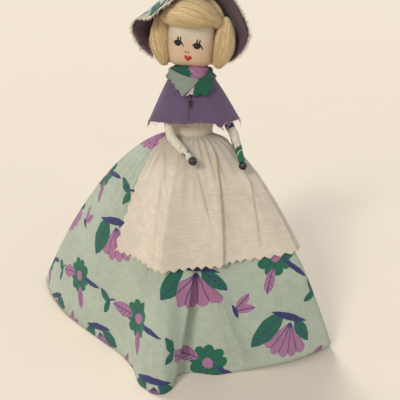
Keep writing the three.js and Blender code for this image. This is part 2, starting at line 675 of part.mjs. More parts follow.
function makeBonnetLining() {
  const inset = CLOTH + FIT;
  const inner = (u, v) => brimPoint(u, v, inset + CLOTH);
  return sheet(BRIM_COLUMNS, BRIM_ROWS, (u, v) => brimPoint(u, v, inset), inner);
}

// Crown from the gathering line back to where it is drawn together
function makeCrown() {
  const depth = HEAD_RADIUS + HAIR_COVER + CROWN_SLACK + CLOTH - GATHER_SET_BACK;
  const closing = Math.acos(CROWN_HOLE / gatherHalf);
  const at = (u, v, inset) => {
    const around = Math.cos(v * closing) ** CROWN_FULLNESS;
    const y = GATHER_SET_BACK + FIT + (depth - inset) * Math.sin(v * closing);
    return archPoint(
      archAngle(u, NAPE_ARCH),
      (gatherHalf - inset) * around,
      (gatherRise - inset) * around,
      (GATHER_FALL - inset) * around,
      y,
    );
  };
  return sheet(CROWN_COLUMNS, CROWN_ROWS, (u, v) => at(u, v, 0), (u, v) => at(u, v, CLOTH));
}

// Body of the doll, which stands still
const doll = new THREE.Group();
const tilt = degToRad(HEAD_TILT);
const neckAxis = point(Math.sin(tilt), 0, Math.cos(tilt));
const neck = point(0, 0, postTop);
const chinGap = FIT + HEAD_RADIUS * Math.sin(tilt);
const pinFoot = along(neck, neckAxis, wireBore + WOOD_ABOVE_WIRE + FIT - SHOULDER_DROP);
const pinTop = along(neck, neckAxis, chinGap + NECK_PIN_IN_HEAD);
const pinHole = rod(along(pinFoot, neckAxis, -FIT), along(pinTop, neckAxis, FIT), NECK_PIN_RADIUS + FIT);
const wireHole = rod(right.shoulder, left.shoulder, wireBore, FINE_ROUND);

piece(doll, "post", WOOD, makePost(pinHole, wireHole));
piece(doll, "neck_pin", WOOD, rod(pinFoot, pinTop, NECK_PIN_RADIUS));
const bodiceFoot = WAIST_HEIGHT - BODICE_TUCK;
const bodice = ringOfCloth(ROUND, 1, postTop - FIT, bodiceFoot, () => POST_RADIUS + FIT);
piece(doll, "bodice", PRINT, bodice.subtract(wireHole));
piece(doll, "arm_wire", WIRE, makeArmWire(right, left));
piece(doll, "skirt", PRINT, makeSkirt());
const threadMiddle = collarOuter + FIT + THREAD_RADIUS;
const thread = new THREE.TorusGeometry(threadMiddle, THREAD_RADIUS, THREAD_SIDES, ROUND);
thread.translate(0, 0, WAIST_HEIGHT + COLLAR_HEIGHT / 2);
piece(doll, "skirt_thread", THREAD, solid(thread));
piece(doll, "apron_panel", MUSLIN, makeApron());
const bandTop = WAIST_HEIGHT + BAND_HEIGHT;
piece(doll, "apron_band", MUSLIN, ringOfCloth(ROUND, 1, bandTop, WAIST_HEIGHT, () => bandInner));
piece(doll, "apron_bow_knot", MUSLIN, bowKnot(0));
piece(doll, "apron_bow_right_loop", MUSLIN, makeBowLoop(-1));
piece(doll, "apron_bow_left_loop", MUSLIN, makeBowLoop(1));
piece(doll, "apron_bow_right_tail", MUSLIN, makeBowTail(-1));
piece(doll, "apron_bow_left_tail", MUSLIN, makeBowTail(1));
piece(doll, "cape", MAUVE, makeCape());
piece(doll, "cape_knot", THREAD, makeCapeKnot());
piece(doll, "scarf_wrap", SCARF_GREEN, makeScarfWrap());
piece(doll, "scarf_right_end", SCARF_MINT, makeScarfEnd(-1));
piece(doll, "scarf_left_end", SCARF_GREEN, makeScarfEnd(1));

// Arms
for (const [name, plan] of [["right", right], ["left", left]]) {
  piece(doll, `${name}_upper_sleeve`, PRINT, makeUpperSleeve(plan));
  piece(doll, `${name}_forearm_sleeve`, PRINT, makeForeSleeve(plan));
  piece(doll, `${name}_forearm_wire`, WIRE, foreWire(plan, 0));
  piece(doll, `${name}_hand_bead`, BEAD, makeBead(plan));
}

// Head, hair and bonnet, turned and tilted together on the neck pin
const head = new THREE.Group();
const chin = along(neck, neckAxis, chinGap);
head.position.copy(chin);
head.rotation.set(0, tilt, -degToRad(HEAD_TURN), "YXZ");
const socket = rod(point(0, 0, -FIT), point(0, 0, NECK_PIN_IN_HEAD + FIT), NECK_PIN_RADIUS + FIT);
const fringe = makeFringe();
piece(head, "head", SKIN, headForm(0).subtract(socket));
piece(head, "hair_cap", ROVING, makeHairCap());
piece(head, "hair_fringe", ROVING, fringe);
piece(head, "hair_right_lock", ROVING, makeLock(-1, fringe));
piece(head, "hair_left_lock", ROVING, makeLock(1, fringe));
piece(head, "bonnet_brim", PRINT, makeBrim());
piece(head, "bonnet_lining", LINING, makeBonnetLining());
piece(head, "bonnet_crown", PRINT, makeCrown());
doll.add(head);

export default doll;
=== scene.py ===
"""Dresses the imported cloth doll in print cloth, muslin, roving, paint, beads and wood.

Lengths are in millimetres unless a name or a property says otherwise. The doll faces -Y,
and its left is +X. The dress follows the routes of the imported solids.
"""

import math
import random

import bpy
from bpy.props import FloatProperty, FloatVectorProperty, IntProperty, PointerProperty
from mathutils import Matrix, Vector, noise


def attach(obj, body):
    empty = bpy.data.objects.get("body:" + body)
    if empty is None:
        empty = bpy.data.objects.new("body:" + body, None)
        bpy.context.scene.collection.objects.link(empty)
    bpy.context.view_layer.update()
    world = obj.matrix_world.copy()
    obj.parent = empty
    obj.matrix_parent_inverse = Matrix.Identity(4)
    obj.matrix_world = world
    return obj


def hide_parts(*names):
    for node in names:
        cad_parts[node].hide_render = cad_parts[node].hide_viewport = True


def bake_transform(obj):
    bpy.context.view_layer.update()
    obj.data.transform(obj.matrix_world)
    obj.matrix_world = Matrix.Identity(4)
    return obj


bl_info = {
    "name": "Cloth doll dress",
    "version": (1, 0, 0),
    "blender": (4, 5, 0),
    "location": "3D View > Sidebar > Doll",
    "description": "Dresses the packed doll and sets its stage",
    "category": "Add Mesh",
}

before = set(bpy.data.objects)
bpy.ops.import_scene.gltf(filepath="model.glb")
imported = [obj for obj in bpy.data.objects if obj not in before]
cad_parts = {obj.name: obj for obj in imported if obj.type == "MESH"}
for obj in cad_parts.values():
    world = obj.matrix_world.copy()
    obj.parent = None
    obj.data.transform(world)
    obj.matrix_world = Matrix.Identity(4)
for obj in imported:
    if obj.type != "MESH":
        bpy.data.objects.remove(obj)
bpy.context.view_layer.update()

MM = 0.001

# Fit, cloth and drape, and the layers round the post
FIT = 0.35
CLOTH = 0.7
DRAPE = 1.1
WAIST = 121.5
POST_TOP = 156.5
BODICE_OUTER = 9.05
BODICE_FOOT = 117.5
COLLAR_INNER = 9.4
COLLAR_HEIGHT = 6.5
BAND_OUTER = 12.1
BAND_HEIGHT = 9

# Thickness of each cloth as it is shown, and of the paint
COTTON_THICK = 0.5
MUSLIN_THICK = 0.45
BAND_THICK = 0.55
TAPE_THICK = 0.35
SCARF_THICK = 0.45
PAINT_THICK = 0.1

# Skirt and apron: direction in degrees, reach of the hem and lift above the floor
SKIRT_FLARE = 0.6
HEM_FOLDS = [
    (-199, 117, 4), (-137, 58, 0), (-106, 73, 0), (-79, 59, 0),
    (-26, 90, 6), (22, 66, 0), (70, 94, 2), (112, 72, 0),
]
APRON_FOLDS = [
    (-199, 121, 0), (-134, 64.5, 0), (-106, 77, 0), (-84, 65.5, 0),
    (-64, 65.5, 0), (-22, 94, 0), (22, 72.5, 0),
]
APRON_DROP = 61.5
APRON_MIDDLE = -83
APRON_TOP_SPREAD = 76
APRON_HEM_SPREAD = 64
APRON_TEETH = 24
APRON_SIDE_TEETH = 14
ROW_CROWDING = 1.5

# Bow of the apron strings
KNOT_MIDDLE = Vector((0, 14.75, 126))
KNOT_RADIUS = 2.3
LOOP_LENGTH = 12
LOOP_HEIGHT = 6.5
LOOP_DEPTH = 3
LOOP_DROOP = 14
TAIL_TOP = 123.35
TAIL_LENGTH = 34
TAIL_WIDTH = 6
TAIL_GAP = 0.6

# Cape and scarf
CAPE_TOP = 154.5
CAPE_LENGTH = 24.5
CAPE_REACH = {"right": 22.53, "left": 25.5, "front": 18.03, "back": 18.25}
CAPE_SQUARENESS = 2.5
CAPE_FLARE = 0.85
CAPE_RIPPLES = 7
CAPE_RIPPLE = 0.7
CAPE_OPENING = 0.6
CAPE_KNOT_HEIGHT = 140.55
CAPE_KNOT_RADIUS = 1.1
SCARF_HEIGHT = 3
SCARF_RISE = 3.5
SCARF_VEE = 6
SCARF_END_LENGTH = 10.5
SCARF_END_SIDE = 1.6
SCARF_END_SWEEP = 80
SCARF_CROSSING = 16
SCARF_TIPS = -8
SCARF_SWOOP = 2.2
SCARF_TEETH = 5

# Arms: shoulder, elbow and hand of each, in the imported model's frame
ARM_RADIUS = 2.8
WRIST_RADIUS = 2.1
ARM_BEND = 2.6
BEAD_RADIUS = 2.3
SLEEVE_TURN = 17
ARMS = {
    "right": (
        Vector((-12.45, 0, 143.5)),
        Vector((-11.063, -17.011, 123.228)),
        Vector((1.274, -29.552, 112.704)),
    ),
    "left": (
        Vector((12.45, 0, 143.5)),
        Vector((24.067, -8.146, 121.118)),
        Vector((27.627, -24.055, 108.689)),
    ),
}

# Head, hair and bonnet, in the head's own frame, which stands on the chin
HEAD_RADIUS = 13
HEAD_HEIGHT = 31
HEAD_SQUARENESS = 4.4
FACE_FLATNESS = 2.5
HEAD_TILT = math.radians(3)
HEAD_TURN = math.radians(-6)
CHIN_GAP = FIT + HEAD_RADIUS * math.sin(HEAD_TILT)
NECK_AXIS = Vector((math.sin(HEAD_TILT), 0, math.cos(HEAD_TILT)))
HEAD_FRAME = (
    Matrix.Translation(Vector((0, 0, POST_TOP)) + NECK_AXIS * CHIN_GAP)
    @ Matrix.Rotation(HEAD_TILT, 4, "Y")
    @ Matrix.Rotation(HEAD_TURN, 4, "Z")
)
HAIR_COVER = 5.5
HAIR_PARTING = 3
HAIR_NAPE = 1.5
HAIR_SWELL = 0.55
FRINGE_RADIUS = 6.6
FRINGE_LEVEL = 25.6
LOCK_RADIUS = 5.2
LOCK_TOP = 23.5
LOCK_FOOT = 1.5
LOCK_OUT = {"right": 3.1, "left": 4.6}
BONNET_LEVEL = 17.5
RIM_HALF, RIM_RISE, RIM_FALL = 30.5, 27.5, 19
GATHER_HALF, GATHER_RISE, GATHER_FALL = 24.5, 20.5, 15
RIM_REACH = 8
RIM_PEAK = 8
RIM_POINT = 0.28
RIM_DIP = 12.5
RIM_DIP_REACH = 3.5
RIM_DIP_START = -88
RIM_DIP_END = 18
RIM_DIP_FADE = 45
RIM_ARCH = 138
NAPE_ARCH = 124
GATHER_SET_BACK = 5
CROWN_DEPTH = 15.7
CROWN_HOLE = 1.5
CROWN_FULLNESS = 0.8


def srgb(red, green, blue):
    """A colour from 0 to 255 as the linear values that shaders take."""
    def linear(value):
        share = value / 255
        return share / 12.92 if share <= 0.04045 else ((share + 0.055) / 1.055) ** 2.4
    return tuple(linear(value) for value in (red, green, blue))


def colour(name, description, *levels):
    """A colour property."""
    return FloatVectorProperty(
        name=name, description=description, subtype="COLOR", size=3, min=0, max=1,
        default=srgb(*levels),
    )


def length(name, description, millimetres):
    """A length property, in metres."""
    return FloatProperty(
        name=name, description=description, unit="LENGTH", min=0, precision=5,
        default=millimetres * MM,
    )


class DollSizes(bpy.types.PropertyGroup):
    """Sizes of the dress."""

    gather: length("Gather depth", "Depth of the gathers under the waist", 0.8)
    tooth: length("Tooth depth", "Depth of the pinked teeth", 1.7)
    print_width: length("Print width", "Repeat of the print across the cloth", 58)
    print_height: length("Print height", "Repeat of the print along the cloth", 64)
    fray: length("Fray", "Longest loose thread of the raw edges", 2.6)
    thread: length("Thread", "Radius of sewing thread and loose threads", 0.13)
    fibre: length("Fibre", "Radius of one tuft of roving", 0.07)
    tufts: IntProperty(name="Tufts", description="Tufts on each roll of roving", default=420, min=0)


class DollColours(bpy.types.PropertyGroup):
    """Colours of the dress and the doll."""

    ground: colour("Print ground", "Ground of the printed cloth", 178, 188, 170)
    leaf: colour("Print leaf", "Leaves of the print", 26, 104, 76)
    petal: colour("Print petal", "Petals of the print", 170, 116, 152)
    line: colour("Print line", "Stems and ribs of the print", 52, 54, 106)
    sleeve: colour("Sleeve", "Ground of the rolled arms", 224, 216, 194)
    muslin: colour("Muslin", "Apron, band and strings", 223, 209, 190)
    cape: colour("Cape", "Plain cloth of the cape", 98, 80, 110)
    lining: colour("Lining", "Lining of the bonnet", 92, 68, 84)
    scarf_green: colour("Scarf green", "Left end and wrap of the scarf", 12, 86, 64)
    scarf_mint: colour("Scarf mint", "Right end of the scarf", 138, 148, 136)
    # Skin is the face's paint warmed by painted bounce light; the brow colour is painted cool light
    # on the face above the eyes
    skin: colour("Skin", "Face below the eyes", 207, 176, 145)
    brow_painted_light: colour("Brow", "Face above the eyes", 203, 191, 175)
    mouth: colour("Mouth", "Painted mouth", 176, 52, 46)
    nose: colour("Nose", "Painted nostrils", 104, 66, 54)
    ink: colour("Ink", "Painted eyes and lashes", 9, 9, 13)
    hair: colour("Hair", "Roving", 226, 200, 152)
    thread: colour("Thread", "Sewing thread and frayed edges", 240, 231, 204)
    bead: colour("Bead", "Hands and dark thread", 22, 22, 32)
    wood: colour("Wood", "Post and neck pin", 186, 142, 92)
    wire: colour("Wire", "Arm wire", 140, 140, 144)
    floor: colour("Floor", "Stage floor", 243, 230, 212)


def sizes():
    """The scene's dress sizes."""
    return bpy.context.scene.doll_sizes


def tint(name):
    """One of the scene's colours, opaque."""
    return (*getattr(bpy.context.scene.doll_colours, name), 1)


def lerp(low, high, share):
    """A value part of the way from low to high."""
    return low + (high - low) * share


def ease(low, high, value):
    """0 below low, 1 above high, smooth between them."""
    share = min(max((value - low) / (high - low), 0), 1)
    return share * share * (3 - 2 * share)


def wave(turns):
    """A wave between 0 and 1, one for each turn."""
    return 0.5 - 0.5 * math.cos(2 * math.pi * turns)


def zigzag(turns):
    """A zigzag between 0 and 1, one tooth for each turn."""
    return 1 - abs(2 * (turns % 1) - 1)


def polar(radius, degrees, z):
    """A point round the post."""
    angle = math.radians(degrees)
    return Vector((radius * math.cos(angle), radius * math.sin(angle), z))


def in_head(x, y, z):
    """A point of the head's own frame, in the doll's frame."""
    return HEAD_FRAME @ Vector((x, y, z))


# Meshes

def new_piece(name, points, faces, corners, materials):
    """A smooth mesh of points, with a place on the flat cloth for each corner of a face."""
    mesh = bpy.data.meshes.new(name)
    mesh.from_pydata([point * MM for point in points], [], faces)
    layer = mesh.uv_layers.new(name="flat")
    layer.data.foreach_set("uv", [value for corner in corners for value in corner])
    for material in materials:
        mesh.materials.append(bpy.data.materials[material])
    mesh.shade_smooth()
    mesh.update()
    piece = bpy.data.objects.new(name, mesh)
    bpy.context.scene.collection.objects.link(piece)
    return piece


def grid_piece(name, columns, rows, point, flat, materials, wraps=False):
    """A sheet through point(u, v). Seen from outside, u runs to the right and v runs down."""
    across = columns if wraps else columns + 1
    points = [point(i / columns, j / rows) for j in range(rows + 1) for i in range(across)]
    faces, corners = [], []
    for j in range(rows):
        for i in range(columns):
            quad = [(i, j), (i, j + 1), (i + 1, j + 1), (i + 1, j)]
            faces.append([b * across + a % across for a, b in quad])
            corners += [flat(a / columns, b / rows) for a, b in quad]
    return new_piece(name, points, faces, corners, materials)


def flat_sheet(width, height):
    """Places on a flat sheet of a width and a height, from its upper left corner."""
    return lambda u, v: (width * u, -height * v)


def thicken(piece, thickness):
    """Thicken a sheet inwards, with its second material on the wrong side and the cut edge."""
    shell = piece.modifiers.new("thickness", "SOLIDIFY")
    shell.thickness = thickness * MM
    shell.offset = -1
    if len(piece.data.materials) > 1:
        shell.material_offset = 1
        shell.material_offset_rim = 1
    return piece


def frames_on(path):
    """Each point of a path with two directions across it that don't twist."""
    side = None
    for k, point in enumerate(path):
        ahead = (path[min(k + 1, len(path) - 1)] - path[max(k - 1, 0)]).normalized()
        side = ahead.orthogonal() if side is None else side - ahead * side.dot(ahead)
        side.normalize()
        yield point, side.copy(), ahead.cross(side)


def thread_piece(name, paths, radius, material, sides=4, taper=0.35):
    """One mesh of round threads that narrow to their ends.

    Each thread's own shade is its place across the cloth.
    """
    points, faces, corners = [], [], []
    shades = random.Random(len(paths))
    for path in paths:
        first = len(points)
        shade = shades.random()
        last = len(path) - 1
        for k, (point, side, other) in enumerate(frames_on(path)):
            thick = radius * lerp(1, taper, (abs(2 * k / last - 1)) ** 3)
            for s in range(sides):
                turn = 2 * math.pi * s / sides
                points.append(point + (side * math.cos(turn) + other * math.sin(turn)) * thick)
        for k in range(last):
            for s in range(sides):
                after = (s + 1) % sides
                here, there = first + k * sides, first + (k + 1) * sides
                faces.append([here + s, here + after, there + after, there + s])
                corners += [(shade, ring / last) for ring in (k, k, k + 1, k + 1)]
        faces.append([first + s for s in reversed(range(sides))])
        faces.append([first + last * sides + s for s in range(sides)])
        corners += [(shade, 0)] * sides + [(shade, 1)] * sides
    return new_piece(name, points, faces, corners, [material])


def fray_paths(edge, count, longest, seed):
    """Loose threads along a raw edge, rooted in the cloth.

    edge(t) gives a point, the way out of the cloth and the way along it.
    """
    draw = random.Random(seed)
    root = 0.5
    paths = []
    for k in range(count):
        point, out, along = edge((k + draw.random()) / count)
        reach = longest * draw.uniform(0.25, 1) ** 1.6
        lean = along * draw.uniform(-0.7, 0.7)
        curl = Vector([draw.uniform(-0.4, 0.4) for _ in range(3)])
        start = point - out * root
        paths.append([
            start + (out + lean * s + curl * s * s) * (root + reach) * s
            for s in (0, 0.3, 0.6, 0.85, 1)
        ])
    return paths


def dress(piece, body, slot, *nodes):
    """Let a piece ride on a body and stand for its solids, which it hides. The slot is not used."""
    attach(piece, body)
    if nodes:
        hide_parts(*nodes)
    return piece


# Materials

def add(tree, kind, *inputs, out=0, **settings):
    """Add a node, set or join its inputs in order, and give one of its outputs."""
    node = tree.nodes.new(kind)
    for key, value in settings.items():
        setattr(node, key, value)
    for socket, value in zip(node.inputs, inputs):
        if isinstance(value, bpy.types.NodeSocket):
            tree.links.new(value, socket)
        elif value is not None:
            socket.default_value = value
    return node.outputs[out]


def calc(tree, operation, *inputs):
    """A math node's value."""
    return add(tree, "ShaderNodeMath", *inputs, operation=operation)


def vector(tree, operation, *inputs):
    """A vector math node's vector."""
    return add(tree, "ShaderNodeVectorMath", *inputs, operation=operation)


def product(tree, first, second):
    """Two values multiplied."""
    return calc(tree, "MULTIPLY", first, second)


def mix(tree, factor, first, second, blend_type="MIX"):
    """A mix of two colours."""
    node = tree.nodes.new("ShaderNodeMix")
    node.data_type = "RGBA"
    node.blend_type = blend_type
    for index, value in ((0, factor), (6, first), (7, second)):
        if isinstance(value, bpy.types.NodeSocket):
            tree.links.new(value, node.inputs[index])
        else:
            node.inputs[index].default_value = value
    return node.outputs[2]


def ranged(tree, value, low, high, to_low=0.0, to_high=1.0):
    """A value moved smoothly from one range to another."""
    limits = (low, high, to_low, to_high)
    return add(tree, "ShaderNodeMapRange", value, *limits, interpolation_type="SMOOTHSTEP")


def speckle(tree, place, scale, detail=2.0):
    """A noise value."""
    return add(tree, "ShaderNodeTexNoise", place, None, scale, detail)


def varied(tree, noisy, low, high):
    """A noise value, most of which lies between 0.3 and 0.7, moved to another range."""
    return ranged(tree, noisy, 0.3, 0.7, low, high)


def flat_values(tree, place):
    """The two values of a place on the flat cloth."""
    return [add(tree, "ShaderNodeSeparateXYZ", place, out=axis) for axis in (0, 1)]


def turned_back(tree, place, angle):
    """A place on the flat cloth, turned back by an angle."""
    back = product(tree, angle, -1.0)
    return add(tree, "ShaderNodeVectorRotate", place, None, None, back, rotation_type="Z_AXIS")


def new_group(name, inputs, outputs):
    """An empty node group with named sockets, its inputs and its outputs."""
    tree = bpy.data.node_groups.new(name, "ShaderNodeTree")
    for in_out, sockets in (("INPUT", inputs), ("OUTPUT", outputs)):
        for label, kind in sockets.items():
            tree.interface.new_socket(name=label, in_out=in_out, socket_type=f"NodeSocket{kind}")
    return tree, tree.nodes.new("NodeGroupInput").outputs, tree.nodes.new("NodeGroupOutput").inputs


def use_group(tree, name, values):
    """Place a node group with its own values, and give its outputs."""
    node = tree.nodes.new("ShaderNodeGroup")
    node.node_tree = bpy.data.node_groups[name]
    for label, value in values.items():
        if isinstance(value, bpy.types.NodeSocket):
            tree.links.new(value, node.inputs[label])
        else:
            node.inputs[label].default_value = value
    return node.outputs


WEAVE = "weave"
AGEING = "cloth ageing"
LEAF = "leaf shape"
ROSETTE = "rosette shape"
PRINT = "garden print"
FIBRES = "fibres"
OLD_STAIN = (0.62, 0.45, 0.2, 1)
STAIN_PLACE = (18.6, -28.0, 0.0)
VEIN_STEP = 3.1

# Spacing of the threads of each weave
COTTON_WEAVE = 0.42
MUSLIN_WEAVE = 0.55
PLAIN_WEAVE = 0.4
SKIN_WEAVE = 0.3

# Start and end of a border or patch that a piece doesn't have, past the end of any cloth
NOWHERE = (80, 81)


def make_weave():
    """Plain weave: crossing threads with slubs, for a place on the flat cloth, with painted shade
    on the lower threads.
    """
    tree, given, result = new_group(
        WEAVE, {"Place": "Vector", "Spacing": "Float"}, {"Height": "Float", "Shade": "Float"}
    )
    count = calc(tree, "DIVIDE", 1.0, given["Spacing"])
    threads = add(
        tree, "ShaderNodeVectorMath", given["Place"], None, None, count, operation="SCALE"
    )
    wander = add(tree, "ShaderNodeTexNoise", threads, None, 0.35, 1.0, out=1)
    threads = vector(tree, "ADD", threads, vector(tree, "MULTIPLY", wander, (0.5, 0.5, 0)))
    x, y = flat_values(tree, threads)
    warp, weft = (calc(tree, "SINE", product(tree, axis, math.pi)) for axis in (x, y))
    over = calc(tree, "GREATER_THAN", product(tree, warp, weft), 0.0)
    warp, weft = (calc(tree, "ABSOLUTE", axis) for axis in (warp, weft))
    top = product(tree, over, warp)
    low = product(tree, calc(tree, "SUBTRACT", 1.0, over), weft)
    slub = speckle(tree, vector(tree, "MULTIPLY", threads, (0.06, 0.7, 1.0)), 1.0)
    height = product(tree, calc(tree, "ADD", top, low), varied(tree, slub, 0.6, 1.0))
    tree.links.new(height, result["Height"])
    # Shade: painted shade darkens the lower threads between the raised ones, and the slubs give the
    # yarn its own uneven tone
    uneven = ranged(tree, slub, 0.25, 0.75, 0.89, 0.97)
    tree.links.new(calc(tree, "ADD", product(tree, height, 0.12), uneven), result["Shade"])


def make_ageing():
    """Fading and handling marks of old cloth: a shade and a mask of stains."""
    tree, given, result = new_group(
        AGEING, {"Place": "Vector"}, {"Shade": "Float", "Stain": "Float"}
    )
    broad = speckle(tree, given["Place"], 0.035, 3.0)
    fine = speckle(tree, given["Place"], 0.22, 3.0)
    faded, handled = varied(tree, broad, 0.9, 1.0), varied(tree, fine, -0.05, 0.03)
    tree.links.new(calc(tree, "ADD", faded, handled), result["Shade"])
    spots = speckle(tree, vector(tree, "ADD", given["Place"], (37, 11, 0)), 0.05, 4.0)
    tree.links.new(ranged(tree, spots, 0.62, 0.76), result["Stain"])


def make_leaf():
    """A pointed leaf: its shape and its veins, for a place in millimetres."""
    tree, given, result = new_group(
        LEAF,
        {
            "Place": "Vector", "Middle": "Vector", "Turn": "Float",
            "Half Length": "Float", "Half Width": "Float",
        },
        {"Shape": "Float", "Rib": "Float"},
    )
    moved = vector(tree, "SUBTRACT", given["Place"], given["Middle"])
    x, y = flat_values(tree, turned_back(tree, moved, given["Turn"]))
    across = calc(tree, "ABSOLUTE", y)
    half, width = given["Half Length"], given["Half Width"]
    squares = calc(tree, "ADD", product(tree, half, half), product(tree, width, width))
    radius = calc(tree, "DIVIDE", squares, product(tree, width, 2.0))
    offset = calc(tree, "ADD", across, calc(tree, "SUBTRACT", radius, width))
    apart = calc(tree, "ADD", product(tree, x, x), product(tree, offset, offset))
    reach = calc(tree, "SQRT", apart)
    shape = ranged(tree, calc(tree, "SUBTRACT", radius, reach), -0.12, 0.12)
    tree.links.new(shape, result["Shape"])
    slanted = product(tree, calc(tree, "SUBTRACT", x, across), 1 / VEIN_STEP)
    side = product(tree, calc(tree, "PINGPONG", slanted, 0.5), VEIN_STEP)
    veins = product(tree, ranged(tree, side, 0.1, 0.3, 1.0, 0.0), ranged(tree, width, 2.8, 3.2))
    midrib = ranged(tree, across, 0.16, 0.36, 1.0, 0.0)
    tree.links.new(product(tree, shape, calc(tree, "MAXIMUM", midrib, veins)), result["Rib"])


def make_rosette():
    """A round flower, or a fan where it spreads less: its petals, its eye and its ribs."""
    tree, given, result = new_group(
        ROSETTE,
        {
            "Place": "Vector", "Middle": "Vector", "Turn": "Float", "Radius": "Float",
            "Petals": "Float", "Spread": "Float", "Depth": "Float",
        },
        {"Shape": "Float", "Eye": "Float", "Rib": "Float"},
    )
    moved = vector(tree, "SUBTRACT", given["Place"], given["Middle"])
    x, y = flat_values(tree, turned_back(tree, moved, given["Turn"]))
    reach = add(tree, "ShaderNodeVectorMath", moved, out=1, operation="LENGTH")
    share = calc(tree, "DIVIDE", reach, given["Radius"])
    turn = calc(tree, "ARCTAN2", y, x)
    half_turns = product(tree, turn, product(tree, given["Petals"], 0.5))
    lobe = calc(tree, "ABSOLUTE", calc(tree, "COSINE", half_turns))
    notch = calc(tree, "SUBTRACT", 1.0, calc(tree, "POWER", lobe, 0.6))
    edge = calc(tree, "SUBTRACT", 1.0, product(tree, notch, given["Depth"]))
    within = ranged(tree, calc(tree, "SUBTRACT", edge, share), -0.012, 0.012)
    spare = calc(tree, "SUBTRACT", given["Spread"], calc(tree, "ABSOLUTE", turn))
    shape = product(tree, within, ranged(tree, product(tree, spare, reach), -0.12, 0.12))
    tree.links.new(shape, result["Shape"])
    tree.links.new(ranged(tree, share, 0.27, 0.3, 1.0, 0.0), result["Eye"])
    aside = calc(tree, "DIVIDE", product(tree, lobe, product(tree, reach, 2.0)), given["Petals"])
    tree.links.new(product(tree, shape, ranged(tree, aside, 0.14, 0.34, 1.0, 0.0)), result["Rib"])


# Print: each spray has a middle in the repeat, a turn, leaves (middle, turn, half length,
# half width, colour) and perhaps a flower (middle, turn, radius, petals, spread, depth of the
# scallops, colour, eye)
SPRAYS = [
    {
        "middle": (15, 18), "turn": 12,
        "flower": ((-1, -9), 100, 19, 18, 50, 0.13, "Petal", False),
        "leaves": [
            ((11, -1.5), 62, 12.5, 5.6, "Leaf"),
            ((-9.5, -7.5), 152, 8, 3.4, "Leaf"),
            ((1, -11.5), 4, 12, 1.9, "Line"),
        ],
    },
    {
        "middle": (44, 49), "turn": -35,
        "flower": ((0, 0), 10, 10.5, 9, 180, 0.24, "Leaf", True),
        "leaves": [
            ((10.5, 9), 42, 8.5, 3.9, "Petal"),
            ((-11, -8), 215, 9.5, 1.5, "Line"),
            ((-10.5, 7.5), 145, 7, 3.1, "Petal"),
        ],
    },
    {
        "middle": (46, 15), "turn": 150,
        "leaves": [
            ((-2.2, 1.2), 112, 5.2, 2.3, "Petal"),
            ((2.2, 1.2), 68, 5.2, 2.3, "Petal"),
            ((0, -4), 0, 4.4, 1.2, "Line"),
        ],
    },
    {
        "middle": (13, 52), "turn": -60,
        "leaves": [
            ((2.6, 1), 30, 5.6, 2.5, "Leaf"),
            ((-3, 1.6), 128, 5, 2.1, "Leaf"),
            ((0, -3.4), 88, 4.6, 0.5, "Line"),
        ],
    },
]


def make_print():
    """A scattered print of ribbed fan flowers, round blooms and leaves, on a plain ground."""
    paints = ("Ground", "Leaf", "Petal", "Line")
    tree, given, result = new_group(
        PRINT, {"Place": "Vector", **{paint: "Color" for paint in paints}}, {"Color": "Color"}
    )
    repeat = (sizes().print_width / MM, sizes().print_height / MM)
    half = (repeat[0] / 2, repeat[1] / 2, 1)
    wander = add(tree, "ShaderNodeTexNoise", given["Place"], None, 0.16, 1.0, out=1)
    place = vector(tree, "ADD", given["Place"], vector(tree, "MULTIPLY", wander, (1.6, 1.6, 0)))
    shown = given["Ground"]
    for spray in SPRAYS:
        moved = vector(tree, "SUBTRACT", place, (*spray["middle"], 0))
        cell = vector(tree, "WRAP", moved, half, tuple(-value for value in half))
        local = turned_back(tree, cell, math.radians(spray["turn"]))
        if "flower" in spray:
            shown = print_flower(tree, given, local, shown, *spray["flower"])
        for middle, turn, long, wide, paint in spray["leaves"]:
            leaf = use_group(tree, LEAF, {
                "Place": local, "Middle": (*middle, 0), "Turn": math.radians(turn),
                "Half Length": float(long), "Half Width": float(wide),
            })
            shown = mix(tree, leaf["Shape"], shown, given[paint])
            if paint != "Line":
                shown = mix(tree, leaf["Rib"], shown, given["Line"])
    tree.links.new(shown, result["Color"])


def print_flower(
    tree, given, local, shown, middle, turn, radius, petals, spread, depth, paint, eye
):
    """Lay one flower over what is shown."""
    flower = use_group(tree, ROSETTE, {
        "Place": local, "Middle": (*middle, 0), "Turn": math.radians(turn),
        "Radius": float(radius), "Petals": float(petals), "Spread": math.radians(spread),
        "Depth": float(depth),
    })
    shown = mix(tree, flower["Shape"], shown, given[paint])
    shown = mix(tree, flower["Rib"], shown, given["Line"])
    return mix(tree, flower["Eye"], shown, given["Petal"]) if eye else shown


def make_fibres():
    """Streaks along a tuft: a shade and a height. A place's second value runs along the tuft."""
    tree, given, result = new_group(
        FIBRES, {"Place": "Vector"}, {"Height": "Float", "Shade": "Float"}
    )
    streak = speckle(tree, vector(tree, "MULTIPLY", given["Place"], (3.2, 0.12, 1.0)), 1.0, 3.0)
    patch = speckle(tree, vector(tree, "MULTIPLY", given["Place"], (0.3, 0.08, 1.0)), 1.0, 2.0)
    tree.links.new(streak, result["Height"])
    streaked = ranged(tree, streak, 0.25, 0.75, 0.88, 1.03)
    shade = calc(tree, "ADD", streaked, varied(tree, patch, -0.06, 0.05))
    tree.links.new(shade, result["Shade"])


def new_material(name, roughness, sheen=0.0, **shader_values):
    """A material's tree, its shader and the place on the flat cloth."""
    material = bpy.data.materials.new(name)
    material.use_nodes = True
    tree = material.node_tree
    shader = tree.nodes["Principled BSDF"]
    shader.inputs["Roughness"].default_value = roughness
    shader.inputs["Sheen Weight"].default_value = sheen
    for label, value in shader_values.items():
        shader.inputs[label.replace("_", " ")].default_value = value
    place = add(tree, "ShaderNodeUVMap", uv_map="flat")
    return tree, shader, place


def shaded(tree, paint, shade):
    """A colour made darker or lighter by a value."""
    grey = add(tree, "ShaderNodeCombineColor", shade, shade, shade)
    return mix(tree, 1.0, paint, grey, "MULTIPLY")


